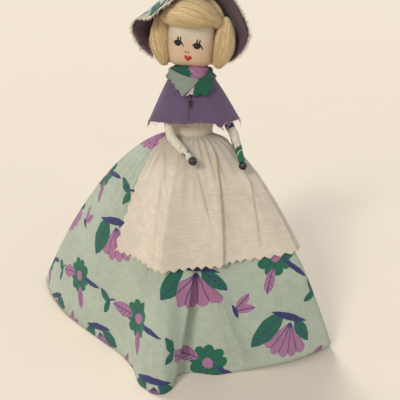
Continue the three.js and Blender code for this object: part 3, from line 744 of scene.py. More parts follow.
def set_paint(tree, shader, paint, shade):
    """Give a shader one of the scene's colours, made darker or lighter by a value."""
    tree.links.new(shaded(tree, tint(paint), shade), shader.inputs["Base Color"])


def finish_cloth(tree, shader, place, paint, spacing=COTTON_WEAVE, stain=None, bump=0.25):
    """Lay weave, fading and stains over a paint, and join it to the shader."""
    weave = use_group(tree, WEAVE, {"Place": place, "Spacing": spacing})
    ageing = use_group(tree, AGEING, {"Place": place})
    paint = shaded(tree, paint, weave["Shade"])
    paint = shaded(tree, paint, ageing["Shade"])
    if stain:
        paint = mix(tree, product(tree, ageing["Stain"], 0.35), paint, stain)
    tree.links.new(paint, shader.inputs["Base Color"])
    tree.links.new(ranged(tree, weave["Shade"], 0.8, 1.1, 0.96, 0.82), shader.inputs["Roughness"])
    normal = add(tree, "ShaderNodeBump", bump, spacing * MM, None, weave["Height"])
    tree.links.new(normal, shader.inputs["Normal"])


def make_print_cloth(name, strength, shift=(0, 0)):
    """Printed cotton. Less strength is the wrong side, where the print only shows through."""
    tree, shader, place = new_material(name, 0.9, sheen=0.12)
    moved = vector(tree, "ADD", place, (*shift, 0))
    paints = {paint: tint(paint.lower()) for paint in ("Ground", "Leaf", "Petal", "Line")}
    shown = use_group(tree, PRINT, {"Place": moved, **paints})["Color"]
    if strength < 1:
        shown = mix(tree, strength, tint("ground"), shown)
    finish_cloth(tree, shader, place, shown)


def make_plain_cloth(name, paint, spacing=PLAIN_WEAVE, stain=None, bump=0.25):
    """Plain woven cloth of one dye."""
    tree, shader, place = new_material(name, 0.92, sheen=0.15)
    finish_cloth(tree, shader, place, tint(paint), spacing, stain, bump)


def make_apron_cloth():
    """Muslin with painted shade that greys it toward its gathers at the top, with old stains and
    one larger stain.
    """
    tree, shader, place = new_material("apron muslin", 0.92, sheen=0.15)
    height = add(tree, "ShaderNodeSeparateXYZ", place, out=1)
    # painted shade: the muslin darkens toward the top of the apron, below the band
    paint = shaded(tree, tint("muslin"), ranged(tree, height, -38.0, -16.0, 1.0, 0.84))
    away = add(tree, "ShaderNodeVectorMath", place, STAIN_PLACE, out=1, operation="DISTANCE")
    spread = calc(tree, "ADD", away, varied(tree, speckle(tree, place, 0.3, 2.0), -2.0, 2.0))
    paint = mix(tree, ranged(tree, spread, 1.5, 6.0, 0.4, 0.0), paint, OLD_STAIN)
    finish_cloth(tree, shader, place, paint, MUSLIN_WEAVE, OLD_STAIN)


def make_fibre_material(name, paint, sheen=0.2, spread=0.25):
    """Threads or tufts, each of its own shade."""
    tree, shader, place = new_material(name, 0.7, sheen=sheen)
    own = add(tree, "ShaderNodeSeparateXYZ", place)
    fibres = use_group(tree, FIBRES, {"Place": vector(tree, "MULTIPLY", place, (40, 40, 1))})
    shade = ranged(tree, own, 0.0, 1.0, 1 - spread, 1 + spread * 0.4)
    set_paint(tree, shader, paint, product(tree, fibres["Shade"], shade))


def make_roving_material(name, paint):
    """The body of a roll of roving, streaked along its length."""
    tree, shader, place = new_material(name, 0.75, sheen=0.3)
    fibres = use_group(tree, FIBRES, {"Place": place})
    shade = ranged(tree, fibres["Shade"], 0.6, 1.1, 0.84, 1.06)
    set_paint(tree, shader, paint, shade)
    normal = add(tree, "ShaderNodeBump", 0.2, 0.3 * MM, None, fibres["Height"])
    tree.links.new(normal, shader.inputs["Normal"])


def make_skin():
    """Smooth painted cloth, made paler over the eyes by painted cool light and warmer to the chin
    by painted warm bounce light.
    """
    tree, shader, place = new_material("painted skin", 0.62, sheen=0.08)
    height = add(tree, "ShaderNodeSeparateXYZ", place, out=1)
    # painted light: the skin colour below the eyes blends into the pale brow colour above them
    paint = mix(tree, ranged(tree, height, 7.0, 18.0), tint("skin"), tint("brow_painted_light"))
    patches = speckle(tree, place, 0.12, 2.0)
    paint = shaded(tree, paint, varied(tree, patches, 0.95, 1.02))
    weave = use_group(tree, WEAVE, {"Place": place, "Spacing": SKIN_WEAVE})
    paint = shaded(tree, paint, ranged(tree, weave["Shade"], 0.8, 1.1, 0.97, 1.01))
    tree.links.new(paint, shader.inputs["Base Color"])
    tree.links.new(varied(tree, patches, 0.55, 0.7), shader.inputs["Roughness"])
    normal = add(tree, "ShaderNodeBump", 0.12, 0.2 * MM, None, weave["Height"])
    tree.links.new(normal, shader.inputs["Normal"])


def make_paint(name, paint, roughness):
    """Brushed paint with uneven cover."""
    tree, shader, place = new_material(name, roughness)
    cover = speckle(tree, place, 1.4, 3.0)
    set_paint(tree, shader, paint, varied(tree, cover, 0.8, 1.1))
    tree.links.new(varied(tree, cover, roughness, roughness + 0.15), shader.inputs["Roughness"])


def make_bead_material():
    """Dark glass bead with faint swirls and handling marks."""
    tree, shader, place = new_material("glass bead", 0.12, Coat_Weight=0.15)
    swirl = speckle(tree, place, 0.9, 3.0)
    set_paint(tree, shader, "bead", varied(tree, swirl, 0.7, 1.6))
    tree.links.new(ranged(tree, swirl, 0.35, 0.7, 0.1, 0.24), shader.inputs["Roughness"])


def make_wood():
    """Bare dowel, with grain along its length. It follows the object: solids have no flat place."""
    tree, shader, _ = new_material("bare dowel", 0.6)
    place = add(tree, "ShaderNodeTexCoord", out=3)
    grain = speckle(tree, vector(tree, "MULTIPLY", place, (1400, 1400, 60)), 1.0, 4.0)
    set_paint(tree, shader, "wood", varied(tree, grain, 0.72, 1.08))
    tree.links.new(varied(tree, grain, 0.7, 0.5), shader.inputs["Roughness"])
    tree.links.new(add(tree, "ShaderNodeBump", 0.3, 0.1 * MM, None, grain), shader.inputs["Normal"])


def make_wire():
    """Soft wire, dulled in patches."""
    tree, shader, _ = new_material("soft wire", 0.4, Metallic=1.0)
    place = add(tree, "ShaderNodeTexCoord", out=3)
    dull = speckle(tree, place, 700.0, 3.0)
    set_paint(tree, shader, "wire", varied(tree, dull, 0.75, 1.05))
    tree.links.new(varied(tree, dull, 0.55, 0.32), shader.inputs["Roughness"])


def make_sleeve_cloth(name, shift, cuff, patch, leaf):
    """Printed cotton rolled on the bias, with a pale raw edge along each turn.

    The cuff of leaf colour and the patch of line colour start and end at distances down the arm.
    """
    tree, shader, place = new_material(name, 0.9, sheen=0.12)
    moved = vector(tree, "ADD", place, (*shift, 0))
    shown = use_group(tree, PRINT, {
        "Place": moved, "Ground": tint("sleeve"), "Leaf": tint(leaf), "Petal": tint(leaf),
        "Line": tint("line"),
    })["Color"]
    x, y = flat_values(tree, place)
    down = product(tree, y, -1.0)
    shown = mix(tree, ranged(tree, down, *map(float, cuff)), shown, tint("leaf"))
    start, end = map(float, patch)
    begun = ranged(tree, down, start, start + 0.5)
    inked = product(tree, begun, ranged(tree, down, end, end + 0.5, 1.0, 0.0))
    shown = mix(tree, inked, shown, tint("line"))
    lap = calc(tree, "PINGPONG", calc(tree, "DIVIDE", x, SLEEVE_TURN), 0.5)
    lap = product(tree, lap, SLEEVE_TURN)
    shown = mix(tree, ranged(tree, lap, 0.25, 0.6, 0.8, 0.0), shown, tint("thread"))
    finish_cloth(tree, shader, place, shown)


def make_scarf_end_cloth(name, paint, border):
    """Plain cloth of one dye, with a pale border ruled with dark lines at its tip."""
    tree, shader, place = new_material(name, 0.9, sheen=0.12)
    x, y = flat_values(tree, place)
    rule = calc(tree, "PINGPONG", calc(tree, "ADD", product(tree, y, 0.5), x), 0.7)
    ruled = mix(tree, ranged(tree, rule, 0.2, 0.34, 1.0, 0.0), tint("thread"), tint("line"))
    along = calc(tree, "SUBTRACT", x, product(tree, y, 0.4))
    at_tip = ranged(tree, along, *map(float, border))
    finish_cloth(tree, shader, place, mix(tree, at_tip, tint(paint), ruled))


def make_scarf_wrap_cloth():
    """Scarf round the neck: green on one side, petal colour with dark lines on the other."""
    tree, shader, place = new_material("scarf wrap", 0.9, sheen=0.12)
    x, y = flat_values(tree, place)
    blot = speckle(tree, place, 0.4, 2.0)
    side = calc(tree, "ADD", x, varied(tree, blot, -2.0, 2.0))
    shown = mix(tree, ranged(tree, side, -0.3, 0.3), tint("scarf_green"), tint("petal"))
    stripes = calc(tree, "SINE", calc(tree, "ADD", product(tree, x, 0.7), y))
    lines = ranged(tree, calc(tree, "ABSOLUTE", stripes), 0.06, 0.14, 1.0, 0.0)
    lines = product(tree, lines, ranged(tree, side, 0.0, 1.0))
    finish_cloth(tree, shader, place, mix(tree, lines, shown, tint("line")))


def make_materials():
    """Build the shared node groups and every finish of the doll once."""
    for build in (make_weave, make_ageing, make_leaf, make_rosette, make_print, make_fibres):
        build()
    make_print_cloth("print cloth", 1)
    make_print_cloth("print wrong side", 0.3)
    make_sleeve_cloth("right sleeve print", (6, 22), NOWHERE, NOWHERE, "sleeve")
    make_sleeve_cloth("left sleeve print", (31, 20), (33, 34), (16, 19), "leaf")
    make_print_cloth("bonnet print", 1, (46, 50))
    make_apron_cloth()
    make_plain_cloth("band muslin", "muslin", MUSLIN_WEAVE, OLD_STAIN)
    make_plain_cloth("cape cloth", "cape", bump=0.12)
    make_plain_cloth("bonnet lining", "lining", bump=0.15)
    make_scarf_end_cloth("scarf green", "scarf_green", (24.3, 24.7))
    make_scarf_end_cloth("scarf mint", "scarf_mint", NOWHERE)
    make_scarf_wrap_cloth()
    make_fibre_material("loose thread", "thread")
    make_fibre_material("cape thread", "petal")
    make_fibre_material("dark thread", "bead")
    make_fibre_material("hair tuft", "hair", sheen=0.4, spread=0.1)
    make_roving_material("hair roving", "hair")
    make_skin()
    make_paint("eye paint", "ink", 0.6)
    make_paint("mouth paint", "mouth", 0.4)
    make_paint("nose paint", "nose", 0.45)
    make_bead_material()
    make_wood()
    make_wire()


# Shapes that more than one piece follows

def fold_at(folds, degrees):
    """Reach and lift of a hem in one direction, drawn to a crest between its hollows."""
    first = folds[0][0]
    closed = [*folds, (first + 360, *folds[0][1:])]
    turn = (degrees - first) % 360 + first
    before, after = next(pair for pair in zip(closed, closed[1:]) if turn < pair[1][0])
    share = (turn - before[0]) / (after[0] - before[0])
    weight = share ** 2 if after[1] > before[1] else 1 - (1 - share) ** 2
    return lerp(before[1], after[1], weight), lerp(before[2], after[2], weight)


def flare(reach, share):
    """Radius of flared cloth at a share of the way from the waist to the hem."""
    return COLLAR_INNER + (reach - COLLAR_INNER) * share ** SKIRT_FLARE


def skirt_outer(degrees, z):
    """Radius of the skirt's outer side at a height."""
    reach, lift = fold_at(HEM_FOLDS, degrees)
    return flare(reach, max(0, (WAIST - z) / (WAIST - lift))) + CLOTH


def cape_outer(degrees, z):
    """Radius of the cape's outer side at a height."""
    angle = math.radians(degrees)
    side = CAPE_REACH["left" if math.cos(angle) > 0 else "right"]
    depth = CAPE_REACH["back" if math.sin(angle) > 0 else "front"]
    corner = (abs(math.cos(angle)) / side) ** CAPE_SQUARENESS
    corner += (abs(math.sin(angle)) / depth) ** CAPE_SQUARENESS
    hem = corner ** (-1 / CAPE_SQUARENESS) + CAPE_RIPPLE * (math.cos(CAPE_RIPPLES * angle) + 1)
    share = max(0, (CAPE_TOP - z) / CAPE_LENGTH)
    return COLLAR_INNER + (hem - CLOTH - COLLAR_INNER) * share ** CAPE_FLARE + CLOTH


def scarf_outer(degrees, z):
    """Radius of the scarf wrap's outer side at a height."""
    return cape_outer(degrees, z) + FIT + CLOTH


def arch_point(angle, half, rise, fall, y):
    """A point of the bonnet's arch at an angle from its top, in the head's frame."""
    up = math.cos(angle)
    narrow = 1 - RIM_POINT * max(0, up) * rise / RIM_RISE
    height = BONNET_LEVEL + up * (rise if up > 0 else fall)
    return Vector((half * math.sin(angle) * narrow, y, height))


def brim_point(u, v, inset):
    """A point of the bonnet's brim, at a distance inside its outer side, in the head's frame."""
    back = math.sin(v * math.pi / 2)
    reach = math.radians(lerp(RIM_ARCH, NAPE_ARCH, back))
    angle = lerp(reach, -reach, u)
    rim = -RIM_REACH - RIM_PEAK * math.cos(angle)
    spot = arch_point(
        angle,
        lerp(RIM_HALF, GATHER_HALF, back) - inset,
        lerp(RIM_RISE, GATHER_RISE, back) - inset,
        lerp(RIM_FALL, GATHER_FALL, back) - inset,
        lerp(rim, GATHER_SET_BACK, v),
    )
    degrees = math.degrees(angle)
    begun = ease(RIM_DIP_START, RIM_DIP_START + RIM_DIP_FADE, degrees)
    over = ease(RIM_DIP_END - RIM_DIP_FADE, RIM_DIP_END, degrees)
    bend = begun * (1 - over) * (1 - back) ** 2
    return spot - Vector((0, RIM_DIP_REACH, RIM_DIP)) * bend


def ring_paths(radius_at, z, start, end, dash, gap):
    """Short stitches along a ring round the post, between two directions in degrees."""
    paths = []
    degrees = start
    while degrees < end:
        step = math.degrees(dash / radius_at(degrees))
        spots = [degrees + step * k / 3 for k in range(4)]
        lifts = (-0.1, 0.16, 0.16, -0.1)
        paths.append([polar(radius_at(d) + lift, d, z) for d, lift in zip(spots, lifts)])
        degrees += math.degrees((dash + gap) / radius_at(degrees))
    return paths


class DOLL_OT_stage(bpy.types.Operator):
    """Set the floor, the lights, the world and the camera"""

    bl_idname = "doll.stage"
    bl_label = "Stage"

    camera_place = (0.005, -0.242, 0.173)
    camera_tilt = 69
    camera_lens = 38.6
    floor_half = 20
    sky = (0.9, 0.95, 1.0, 1)
    sky_strength = 0.36
    # Name, where it shines from, strength, spread in degrees and colour
    lamps = [
        ("key", (-0.6, -0.85, 0.6), 1.55, 18, (1, 0.955, 0.89)),
        ("fill", (0.75, -0.38, 0.54), 0.35, 60, (0.86, 0.93, 1)),
        ("back", (-0.3, 0.45, 0.8), 1.25, 14, (1, 0.97, 0.93)),
    ]

    def execute(self, context):
        scene = context.scene
        scene.view_settings.view_transform = "Standard"
        self.make_floor()
        for name, direction, strength, spread, warmth in self.lamps:
            light = bpy.data.lights.new(name, "SUN")
            light.energy, light.angle, light.color = strength, math.radians(spread), warmth
            lamp = bpy.data.objects.new(name, light)
            lamp.location = direction
            lamp.rotation_euler = Vector(direction).to_track_quat("Z", "Y").to_euler()
            scene.collection.objects.link(lamp)
        scene.world = self.make_world()
        lens = bpy.data.cameras.new("camera")
        lens.lens = self.camera_lens
        lens.clip_start = 0.01
        camera = bpy.data.objects.new("camera", lens)
        camera.location = self.camera_place
        camera.rotation_euler = (math.radians(self.camera_tilt), 0, 0)
        scene.collection.objects.link(camera)
        scene.camera = camera
        return {"FINISHED"}

    def make_world(self):
        """Soft light from all round, behind which the floor's own colour shows."""
        world = bpy.data.worlds.new("studio")
        world.use_nodes = True
        tree = world.node_tree
        light = tree.nodes["Background"]
        light.inputs["Color"].default_value = self.sky
        light.inputs["Strength"].default_value = self.sky_strength
        shown = add(tree, "ShaderNodeBackground", tint("floor"))
        path = tree.nodes.new("ShaderNodeLightPath").outputs
        mirrored = calc(tree, "MAXIMUM", path["Is Glossy Ray"], path["Is Transmission Ray"])
        seen = calc(tree, "MAXIMUM", path["Is Camera Ray"], mirrored)
        both = add(tree, "ShaderNodeMixShader", seen, light.outputs[0], shown)
        tree.links.new(both, tree.nodes["World Output"].inputs["Surface"])
        return world

    def make_floor(self):
        """A wide, faintly mottled floor."""
        tree, shader, _ = new_material("floor", 0.85)
        place = add(tree, "ShaderNodeTexCoord", out=3)
        mottle = speckle(tree, place, 9.0, 3.0)
        set_paint(tree, shader, "floor", ranged(tree, mottle, 0.2, 0.8, 0.98, 1.0))
        half = self.floor_half / MM
        signs = ((-1, -1), (1, -1), (1, 1), (-1, 1))
        corners = [Vector((x * half, y * half, 0)) for x, y in signs]
        new_piece("floor", corners, [[0, 1, 2, 3]], [(0, 0)] * 4, ["floor"])


class DOLL_OT_wood_and_wire(bpy.types.Operator):
    """Finish the post, the neck pin and the wires"""

    bl_idname = "doll.wood_and_wire"
    bl_label = "Wood and wire"

    finishes = {
        "post": "bare dowel", "neck_pin": "bare dowel", "arm_wire": "soft wire",
        "right_forearm_wire": "soft wire", "left_forearm_wire": "soft wire",
    }

    def execute(self, context):
        for node, finish in self.finishes.items():
            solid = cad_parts[node]
            solid.data.materials.clear()
            solid.data.materials.append(bpy.data.materials[finish])
        return {"FINISHED"}


class DOLL_OT_skirt(bpy.types.Operator):
    """Make the print skirt, gathered at the waist and stiff at its four corners"""

    bl_idname = "doll.skirt"
    bl_label = "Skirt"

    # Direction in degrees and the number of columns from there to the next direction
    spans = [(90, 132), (255, 112), (300, 120)]
    rows = 96
    collar_rows = 4
    gathers = 44
    crest_blur = 1.5
    buckle = 1.3
    seam = 90
    floor_gap = 0.3
    flat_side = 0.22
    flat_slope = 140
    seam_stitches = 34
    twists = 40
    twist_steps = 240
    strand = 0.12
    waist_fullness = 1.6
    # Directions from the apron's middle between which its cover ends
    cover_end = (64, 78)
    # Standing fold in front: directions at the waist and at the hem, and the depth or height there
    valley_edge, valley_depth = (-76.7, -98), 9
    hollow_edge, hollow_depth = (-130.6, -110.6), 2.5
    pleat_crest, pleat_height = (-96.8, -60.8), 6.2
    # Bulges of the fold's round tip: height, direction and width
    tips = [(3, -113, 5), (4, -101, 4)]

    def directions(self):
        """Direction of each column. The columns stand closer across the folds in front."""
        ends = [start for start, _ in self.spans[1:]] + [self.seam + 360]
        turns = []
        for (start, count), end in zip(self.spans, ends):
            turns += [lerp(start, end, k / count) for k in range(count)]
        return [*turns, self.seam + 360]

    def front_folds(self, degrees, share):
        """The standing fold: a round tip, a valley after it, a hollow before it and a low pleat."""
        turn = (degrees + 180) % 360 - 180
        bulges = [high * math.exp(-((turn - at) / wide) ** 2) for high, at, wide in self.tips]
        past = turn - lerp(*self.valley_edge, share)
        floor = lerp(math.exp(-max(past, 0) / 4), 1 - ease(5, 24, past), 0.65)
        valley = self.valley_depth * ease(0, 0.8, past) * floor
        before = lerp(*self.hollow_edge, share) - turn
        hollow = self.hollow_depth * ease(0, 2, before) * math.exp(-max(before, 0) / 6)
        crest = turn - lerp(*self.pleat_crest, share)
        pleat = self.pleat_height * math.exp(-crest / 9 if crest > 0 else -(crest / 0.8) ** 2)
        out = sum(bulges) * ease(0.5, 0.8, share)
        out += pleat * ease(0.47, 0.64, share) * (1 - ease(0.85, 1, share))
        out -= valley * ease(0.3, 0.75, share)
        return out - hollow * ease(0.2, 0.45, share) * (1 - ease(0.75, 1, share))

    def surface(self, degrees, share):
        """A point of the outer side, at a share of the way from the waist to the hem."""
        around = [fold_at(HEM_FOLDS, degrees + turn * self.crest_blur) for turn in (-1, 0, 0, 1)]
        reach, lift = (sum(values) / len(around) for values in zip(*around))
        radius = flare(reach, share) + CLOTH + self.front_folds(degrees, share)
        pleat = wave(self.gathers * degrees / 360 + 0.5 * noise.noise(polar(5, degrees, 0)))
        fade = ease(0, 0.05, share) * (1 - ease(0.05, 0.6, share))
        radius -= self.waist_fullness * sizes().gather / MM * pleat * fade
        swell = noise.noise(polar(2.6, degrees, 1.8 * share))
        covered = 1 - ease(*self.cover_end, abs((degrees - APRON_MIDDLE + 180) % 360 - 180))
        covered *= 1 - ease(0.5, 0.6, share)
        swell = lerp(swell, -abs(swell), covered)
        radius += self.buckle * swell * ease(0.1, 0.7, share) * (1 - 0.4 * covered)
        return polar(radius, degrees, lerp(WAIST, max(lift, self.floor_gap), share))

    def execute(self, context):
        turns = self.directions()
        columns = len(turns) - 1
        collar = self.collar_rows / self.rows

        def point(u, v):
            degrees = turns[round(u * columns)]
            if v < collar:
                ripple = 0.15 * wave(self.gathers * degrees / 360)
                height = WAIST + COLLAR_HEIGHT * (1 - v / collar)
                return polar(COLLAR_INNER + CLOTH - ripple, degrees, height)
            return self.surface(degrees, ((v - collar) / (1 - collar)) ** ROW_CROWDING)

        hem = [self.surface(degrees, 1) for degrees in turns]
        runs = [0]
        for before, after in zip(hem, hem[1:]):
            runs.append(runs[-1] + (after - before).length)

        def flat(u, v):
            turn = runs[round(u * columns)] / self.flat_slope
            spot = point(u, v)
            out = spot.xy.length - COLLAR_INNER
            reach = math.hypot(out, WAIST - spot.z) + COLLAR_INNER
            return reach * math.cos(turn), reach * math.sin(turn)

        finishes = ["print cloth", "print wrong side"]
        cloth = grid_piece("skirt_cloth", columns, self.rows, point, flat, finishes, wraps=True)
        thicken(cloth, COTTON_THICK)
        dress(cloth, "body", "print_cloth", "skirt")
        thread, finish = sizes().thread / MM, "loose thread"
        stitches = thread_piece("skirt_seam_stitches", self.seam_paths(), thread, finish)
        dress(stitches, "body", "thread")
        strands = self.gathering_paths()
        gathering = thread_piece("gathering_thread", strands, 0.2, finish, taper=1)
        dress(gathering, "body", "thread", "skirt_thread")
        return {"FINISHED"}

    def seam_paths(self):
        """Running stitches down the seam at the back."""
        paths = []
        for k in range(self.seam_stitches):
            path = []
            for part, lift in ((0, -0.1), (0.2, 0.15), (0.4, 0.15), (0.6, -0.1)):
                row = lerp(0.08, 0.985, (k + part) / self.seam_stitches)
                spot = self.surface(self.seam + 1.2, row)
                path.append(spot + Vector((spot.x, spot.y, 0)).normalized() * lift)
            paths.append(path)
        return paths

    def gathering_paths(self):
        """Two strands twisted round the collar."""
        radius = COLLAR_INNER + CLOTH + FIT + 0.3
        middle = WAIST + COLLAR_HEIGHT / 2
        strands = []
        for start in (0, 0.5):
            spots = []
            for k in range(self.twist_steps + 1):
                share = k / self.twist_steps
                turn = 2 * math.pi * (self.twists * share + start)
                out, up = self.strand * math.cos(turn), self.strand * math.sin(turn)
                spots.append(polar(radius + out, 360 * share, middle + up))
            strands.append(spots)
        return strands


class DOLL_OT_apron(bpy.types.Operator):
    """Make the muslin apron, gathered into its band and pinked at its sides and hem"""

    bl_idname = "doll.apron"
    bl_label = "Apron"

    per_tooth = 6
    tuck_rows = 3
    tuck_height = 1.6
    tuck_radius = 11.05
    gathers = 15
    corner_flare = 3
    flat_width = 0.115
    flat_length = 0.074
    band_flat = 76
    # Rows of stitches: height on the band and drop below it, then stitch and gap of each row
    band_row, gather_row = 1.1, 1.9
    band_stitch = (1.1, 0.7)
    gather_stitch = (0.9, 0.7)
    stitch_thread = 0.14
    # Creases: direction at the waist and at the hem, depth, width, and the drops where each starts
    # and ends
    creases = [
        (-50, -70, 3.2, 6, 0.04, 1.4),
        (-156, -85, 2.0, 5, 0.02, 0.6),
        (-95, -71, 1.5, 7, 0.1, 0.8),
        (-20, -46, 1.6, 6, 0.05, 1.0),
        (-128, -112, 1.2, 6, 0.2, 1.4),
    ]
    # Where the arms lie close over the apron: two directions each, how far the place fades beside
    # them, the drops between which it ends, and the share of the fullness kept there
    arm_places = [(-128, -84), (-50, -14)]
    arm_fade = 8
    arm_drop = (0.26, 0.36)
    arm_room = 0.25

    def fullness(self, degrees, drop):
        """Share of the gathers' and creases' height, less under the arms."""
        fade = self.arm_fade
        under = max(
            ease(low - fade, low, degrees) * (1 - ease(high, high + fade, degrees))
            for low, high in self.arm_places
        )
        return lerp(1, self.arm_room, under * (1 - ease(*self.arm_drop, drop)))

    def surface(self, degrees, z):
        """A point of the outer side in one direction, at a height."""
        drop = max(0, WAIST - z) / APRON_DROP
        full = self.fullness(degrees, drop)
        own = flare(fold_at(APRON_FOLDS, degrees)[0], max(0, WAIST - z) / WAIST)
        radius = max(own, skirt_outer(degrees, z)) + DRAPE + CLOTH
        place = (degrees - APRON_MIDDLE) / APRON_TOP_SPREAD
        phase = self.gathers * place / 2 + 0.35 * noise.noise(Vector((2.5 * place, 0, 0.4)))
        reach = 0.3 + 0.5 * wave(0.37 * math.floor(phase))
        gather = 2 * full * sizes().gather / MM * wave(phase) ** 1.5
        radius += gather * ease(0, 0.04, drop) * (1 - ease(0.06, reach, drop))
        for top, hem, depth, width, start, end in self.creases:
            past = degrees - lerp(top, hem, math.sqrt(drop))
            run = ease(start, start + 0.2, drop) * (1 - ease(end - 0.3, end, drop))
            valley = ease(0, 1.6, past) * math.exp(-max(past, 0) / width)
            radius += depth * run * (0.5 * full * math.exp(-(past / width) ** 2) - valley)
        radius += self.corner_flare * ease(-0.6, -0.95, place) * ease(0.5, 1, drop)
        return polar(radius, degrees, z)

    def execute(self, context):
        teeth = sizes().tooth / MM
        columns = APRON_TEETH * self.per_tooth
        rows = APRON_SIDE_TEETH * self.per_tooth + self.tuck_rows
        tuck = self.tuck_rows / rows
        top = WAIST - FIT

        def point(u, v):
            if v < tuck:
                height = lerp(WAIST + self.tuck_height, WAIST, v / tuck)
                degrees = APRON_MIDDLE + (2 * u - 1) * APRON_TOP_SPREAD
                return polar(self.tuck_radius, degrees, height)
            v = (v - tuck) / (1 - tuck)
            spread = lerp(APRON_TOP_SPREAD, APRON_HEM_SPREAD, v)
            tooth = teeth * (1 - zigzag(u * APRON_TEETH + 0.5)) * ease(0.8, 1, v)
            z = top - (APRON_DROP - FIT - tooth) * v ** ROW_CROWDING
            degrees = APRON_MIDDLE + (2 * u - 1) * spread
            bite = teeth * zigzag(v * APRON_SIDE_TEETH)
            bite *= ease(0.86, 1, abs(2 * u - 1)) * ease(0.12, 0.2, v)
            inward = math.degrees(bite / skirt_outer(degrees, z))
            return self.surface(degrees - math.copysign(inward, u - 0.5), z)

        def flat(u, v):
            return (u - 0.5) * self.flat_width / MM, -v * self.flat_length / MM

        cloth = grid_piece("apron_cloth", columns, rows, point, flat, ["apron muslin"])
        thicken(cloth, MUSLIN_THICK)
        dress(cloth, "body", "muslin", "apron_panel")
        self.make_band()
        return {"FINISHED"}

    def make_band(self):
        """Band round the waist, with folded edges, and two rows of stitches."""
        def point(u, v):
            degrees = 90 + 360 * u
            crumple = noise.noise(polar(4, degrees, 3 * v))
            edge = 0.25 * (ease(0.86, 1, v) + 1 - ease(0, 0.14, v))
            return polar(BAND_OUTER + 0.16 * crumple - edge, degrees, WAIST + BAND_HEIGHT * (1 - v))

        flat = flat_sheet(self.band_flat, BAND_HEIGHT)
        band = grid_piece("apron_band_cloth", 160, 16, point, flat, ["band muslin"], wraps=True)
        thicken(band, BAND_THICK)
        dress(band, "body", "muslin", "apron_band")
        on_band, sewn = WAIST + self.band_row, WAIST - self.gather_row
        reach = APRON_TOP_SPREAD - 2
        ends = (APRON_MIDDLE - reach, APRON_MIDDLE + reach)

        def gathered(degrees):
            return self.surface(degrees, sewn).xy.length

        rows = ring_paths(lambda _: BAND_OUTER - 0.03, on_band, -270, 90, *self.band_stitch)
        rows += ring_paths(gathered, sewn, *ends, *self.gather_stitch)
        stitches = thread_piece("band_stitches", rows, self.stitch_thread, "loose thread")
        dress(stitches, "body", "thread")


class DOLL_OT_bow(bpy.types.Operator):
    """Make the bow of the apron's strings: a knot, two loops and two tails"""

    bl_idname = "doll.bow"
    bl_label = "Bow"

    # Lengths of flat tape
    knot_tape = (14, 7)
    loop_tape = 28
    tail_tape = 42

    def execute(self, context):
        self.make_knot()
        for name, side in (("right", -1), ("left", 1)):
            self.make_loop(name, side)
            self.make_tail(name, side)
        return {"FINISHED"}

    def make_knot(self):
        """A pinched turn of tape round the loops."""
        def point(u, v):
            around, up = 2 * math.pi * u, math.pi * (0.5 - v)
            pleats = 1 + 0.07 * math.cos(7 * up + 2 * math.sin(around))
            radius = KNOT_RADIUS * pleats
            flat_out = math.copysign(abs(math.cos(around)) ** 0.8, math.cos(around))
            ring, height = radius * math.cos(up), radius * math.sin(up)
            return KNOT_MIDDLE + Vector((ring * flat_out, ring * math.sin(around), height))

        flat = flat_sheet(*self.knot_tape)
        knot = grid_piece("bow_knot_cloth", 40, 24, point, flat, ["band muslin"], wraps=True)
        dress(knot, "body", "muslin", "apron_bow_knot")

    def make_loop(self, name, side):
        """A tape that runs out from the knot, turns and comes back."""
        droop = Matrix.Rotation(side * math.radians(LOOP_DROOP), 3, "Y")

        def point(u, v):
            turn = 2 * math.pi * v
            out = LOOP_LENGTH / 2 * (1 - math.cos(turn))
            share = out / LOOP_LENGTH
            depth = LOOP_DEPTH / 2 * math.sin(turn) * (0.35 + 0.65 * share)
            across = (u - 0.5) * LOOP_HEIGHT * lerp(0.5, 1, share ** 0.6)
            depth += 0.22 * math.cos(5 * math.pi * u) * (1 - share)
            spot = Vector((side * (KNOT_RADIUS / 2 + out), depth, across))
            return KNOT_MIDDLE + droop @ spot

        flat = flat_sheet(LOOP_HEIGHT, self.loop_tape)
        loop = grid_piece(f"bow_{name}_loop_cloth", 14, 64, point, flat, ["band muslin"])
        thicken(loop, TAPE_THICK)
        dress(loop, "body", "muslin", f"apron_bow_{name}_loop")

    def make_tail(self, name, side):
        """An end of the tape that lies down the back of the skirt."""
        middle = 90 - side * math.degrees((TAIL_GAP + TAIL_WIDTH / 2) / (BAND_OUTER + FIT))

        def point(u, v):
            slant = 1 - 0.06 * (u if side < 0 else 1 - u) * ease(0.7, 1, v)
            z = TAIL_TOP - TAIL_LENGTH * slant * v ** ROW_CROWDING
            width = TAIL_WIDTH * lerp(0.7, 1, ease(0, 0.25, v))
            radius = max(skirt_outer(middle, z), BAND_OUTER)
            degrees = middle + math.degrees((u - 0.5) * width / radius)
            base = max(skirt_outer(degrees, z) + DRAPE, BAND_OUTER + FIT) + CLOTH
            return polar(base + 0.3 * math.sin(9 * v + side) * math.sin(math.pi * u), degrees, z)

        flat = flat_sheet(TAIL_WIDTH, self.tail_tape)
        tail = grid_piece(f"bow_{name}_tail_cloth", 12, 48, point, flat, ["band muslin"])
        thicken(tail, TAPE_THICK)
        dress(tail, "body", "muslin", f"apron_bow_{name}_tail")


class DOLL_OT_bodice(bpy.types.Operator):
    """Make the bodice round the chest, under the cape"""

    bl_idname = "doll.bodice"
    bl_label = "Bodice"

    flat_width = 0.057
    flat_length = 0.039
    crumple = 0.08

    def execute(self, context):
        top = POST_TOP - FIT

        def point(u, v):
            uneven = noise.noise(polar(3, 360 * u, 5 * v))
            radius = BODICE_OUTER - self.crumple + self.crumple * uneven
            return polar(radius, 90 + 360 * u, lerp(top, BODICE_FOOT, v))

        flat = flat_sheet(self.flat_width / MM, self.flat_length / MM)
        finishes = ["print cloth", "print wrong side"]
        cloth = grid_piece("bodice_cloth", 96, 40, point, flat, finishes, wraps=True)
        thicken(cloth, COTTON_THICK)
        dress(cloth, "body", "print_cloth", "bodice")
        return {"FINISHED"}


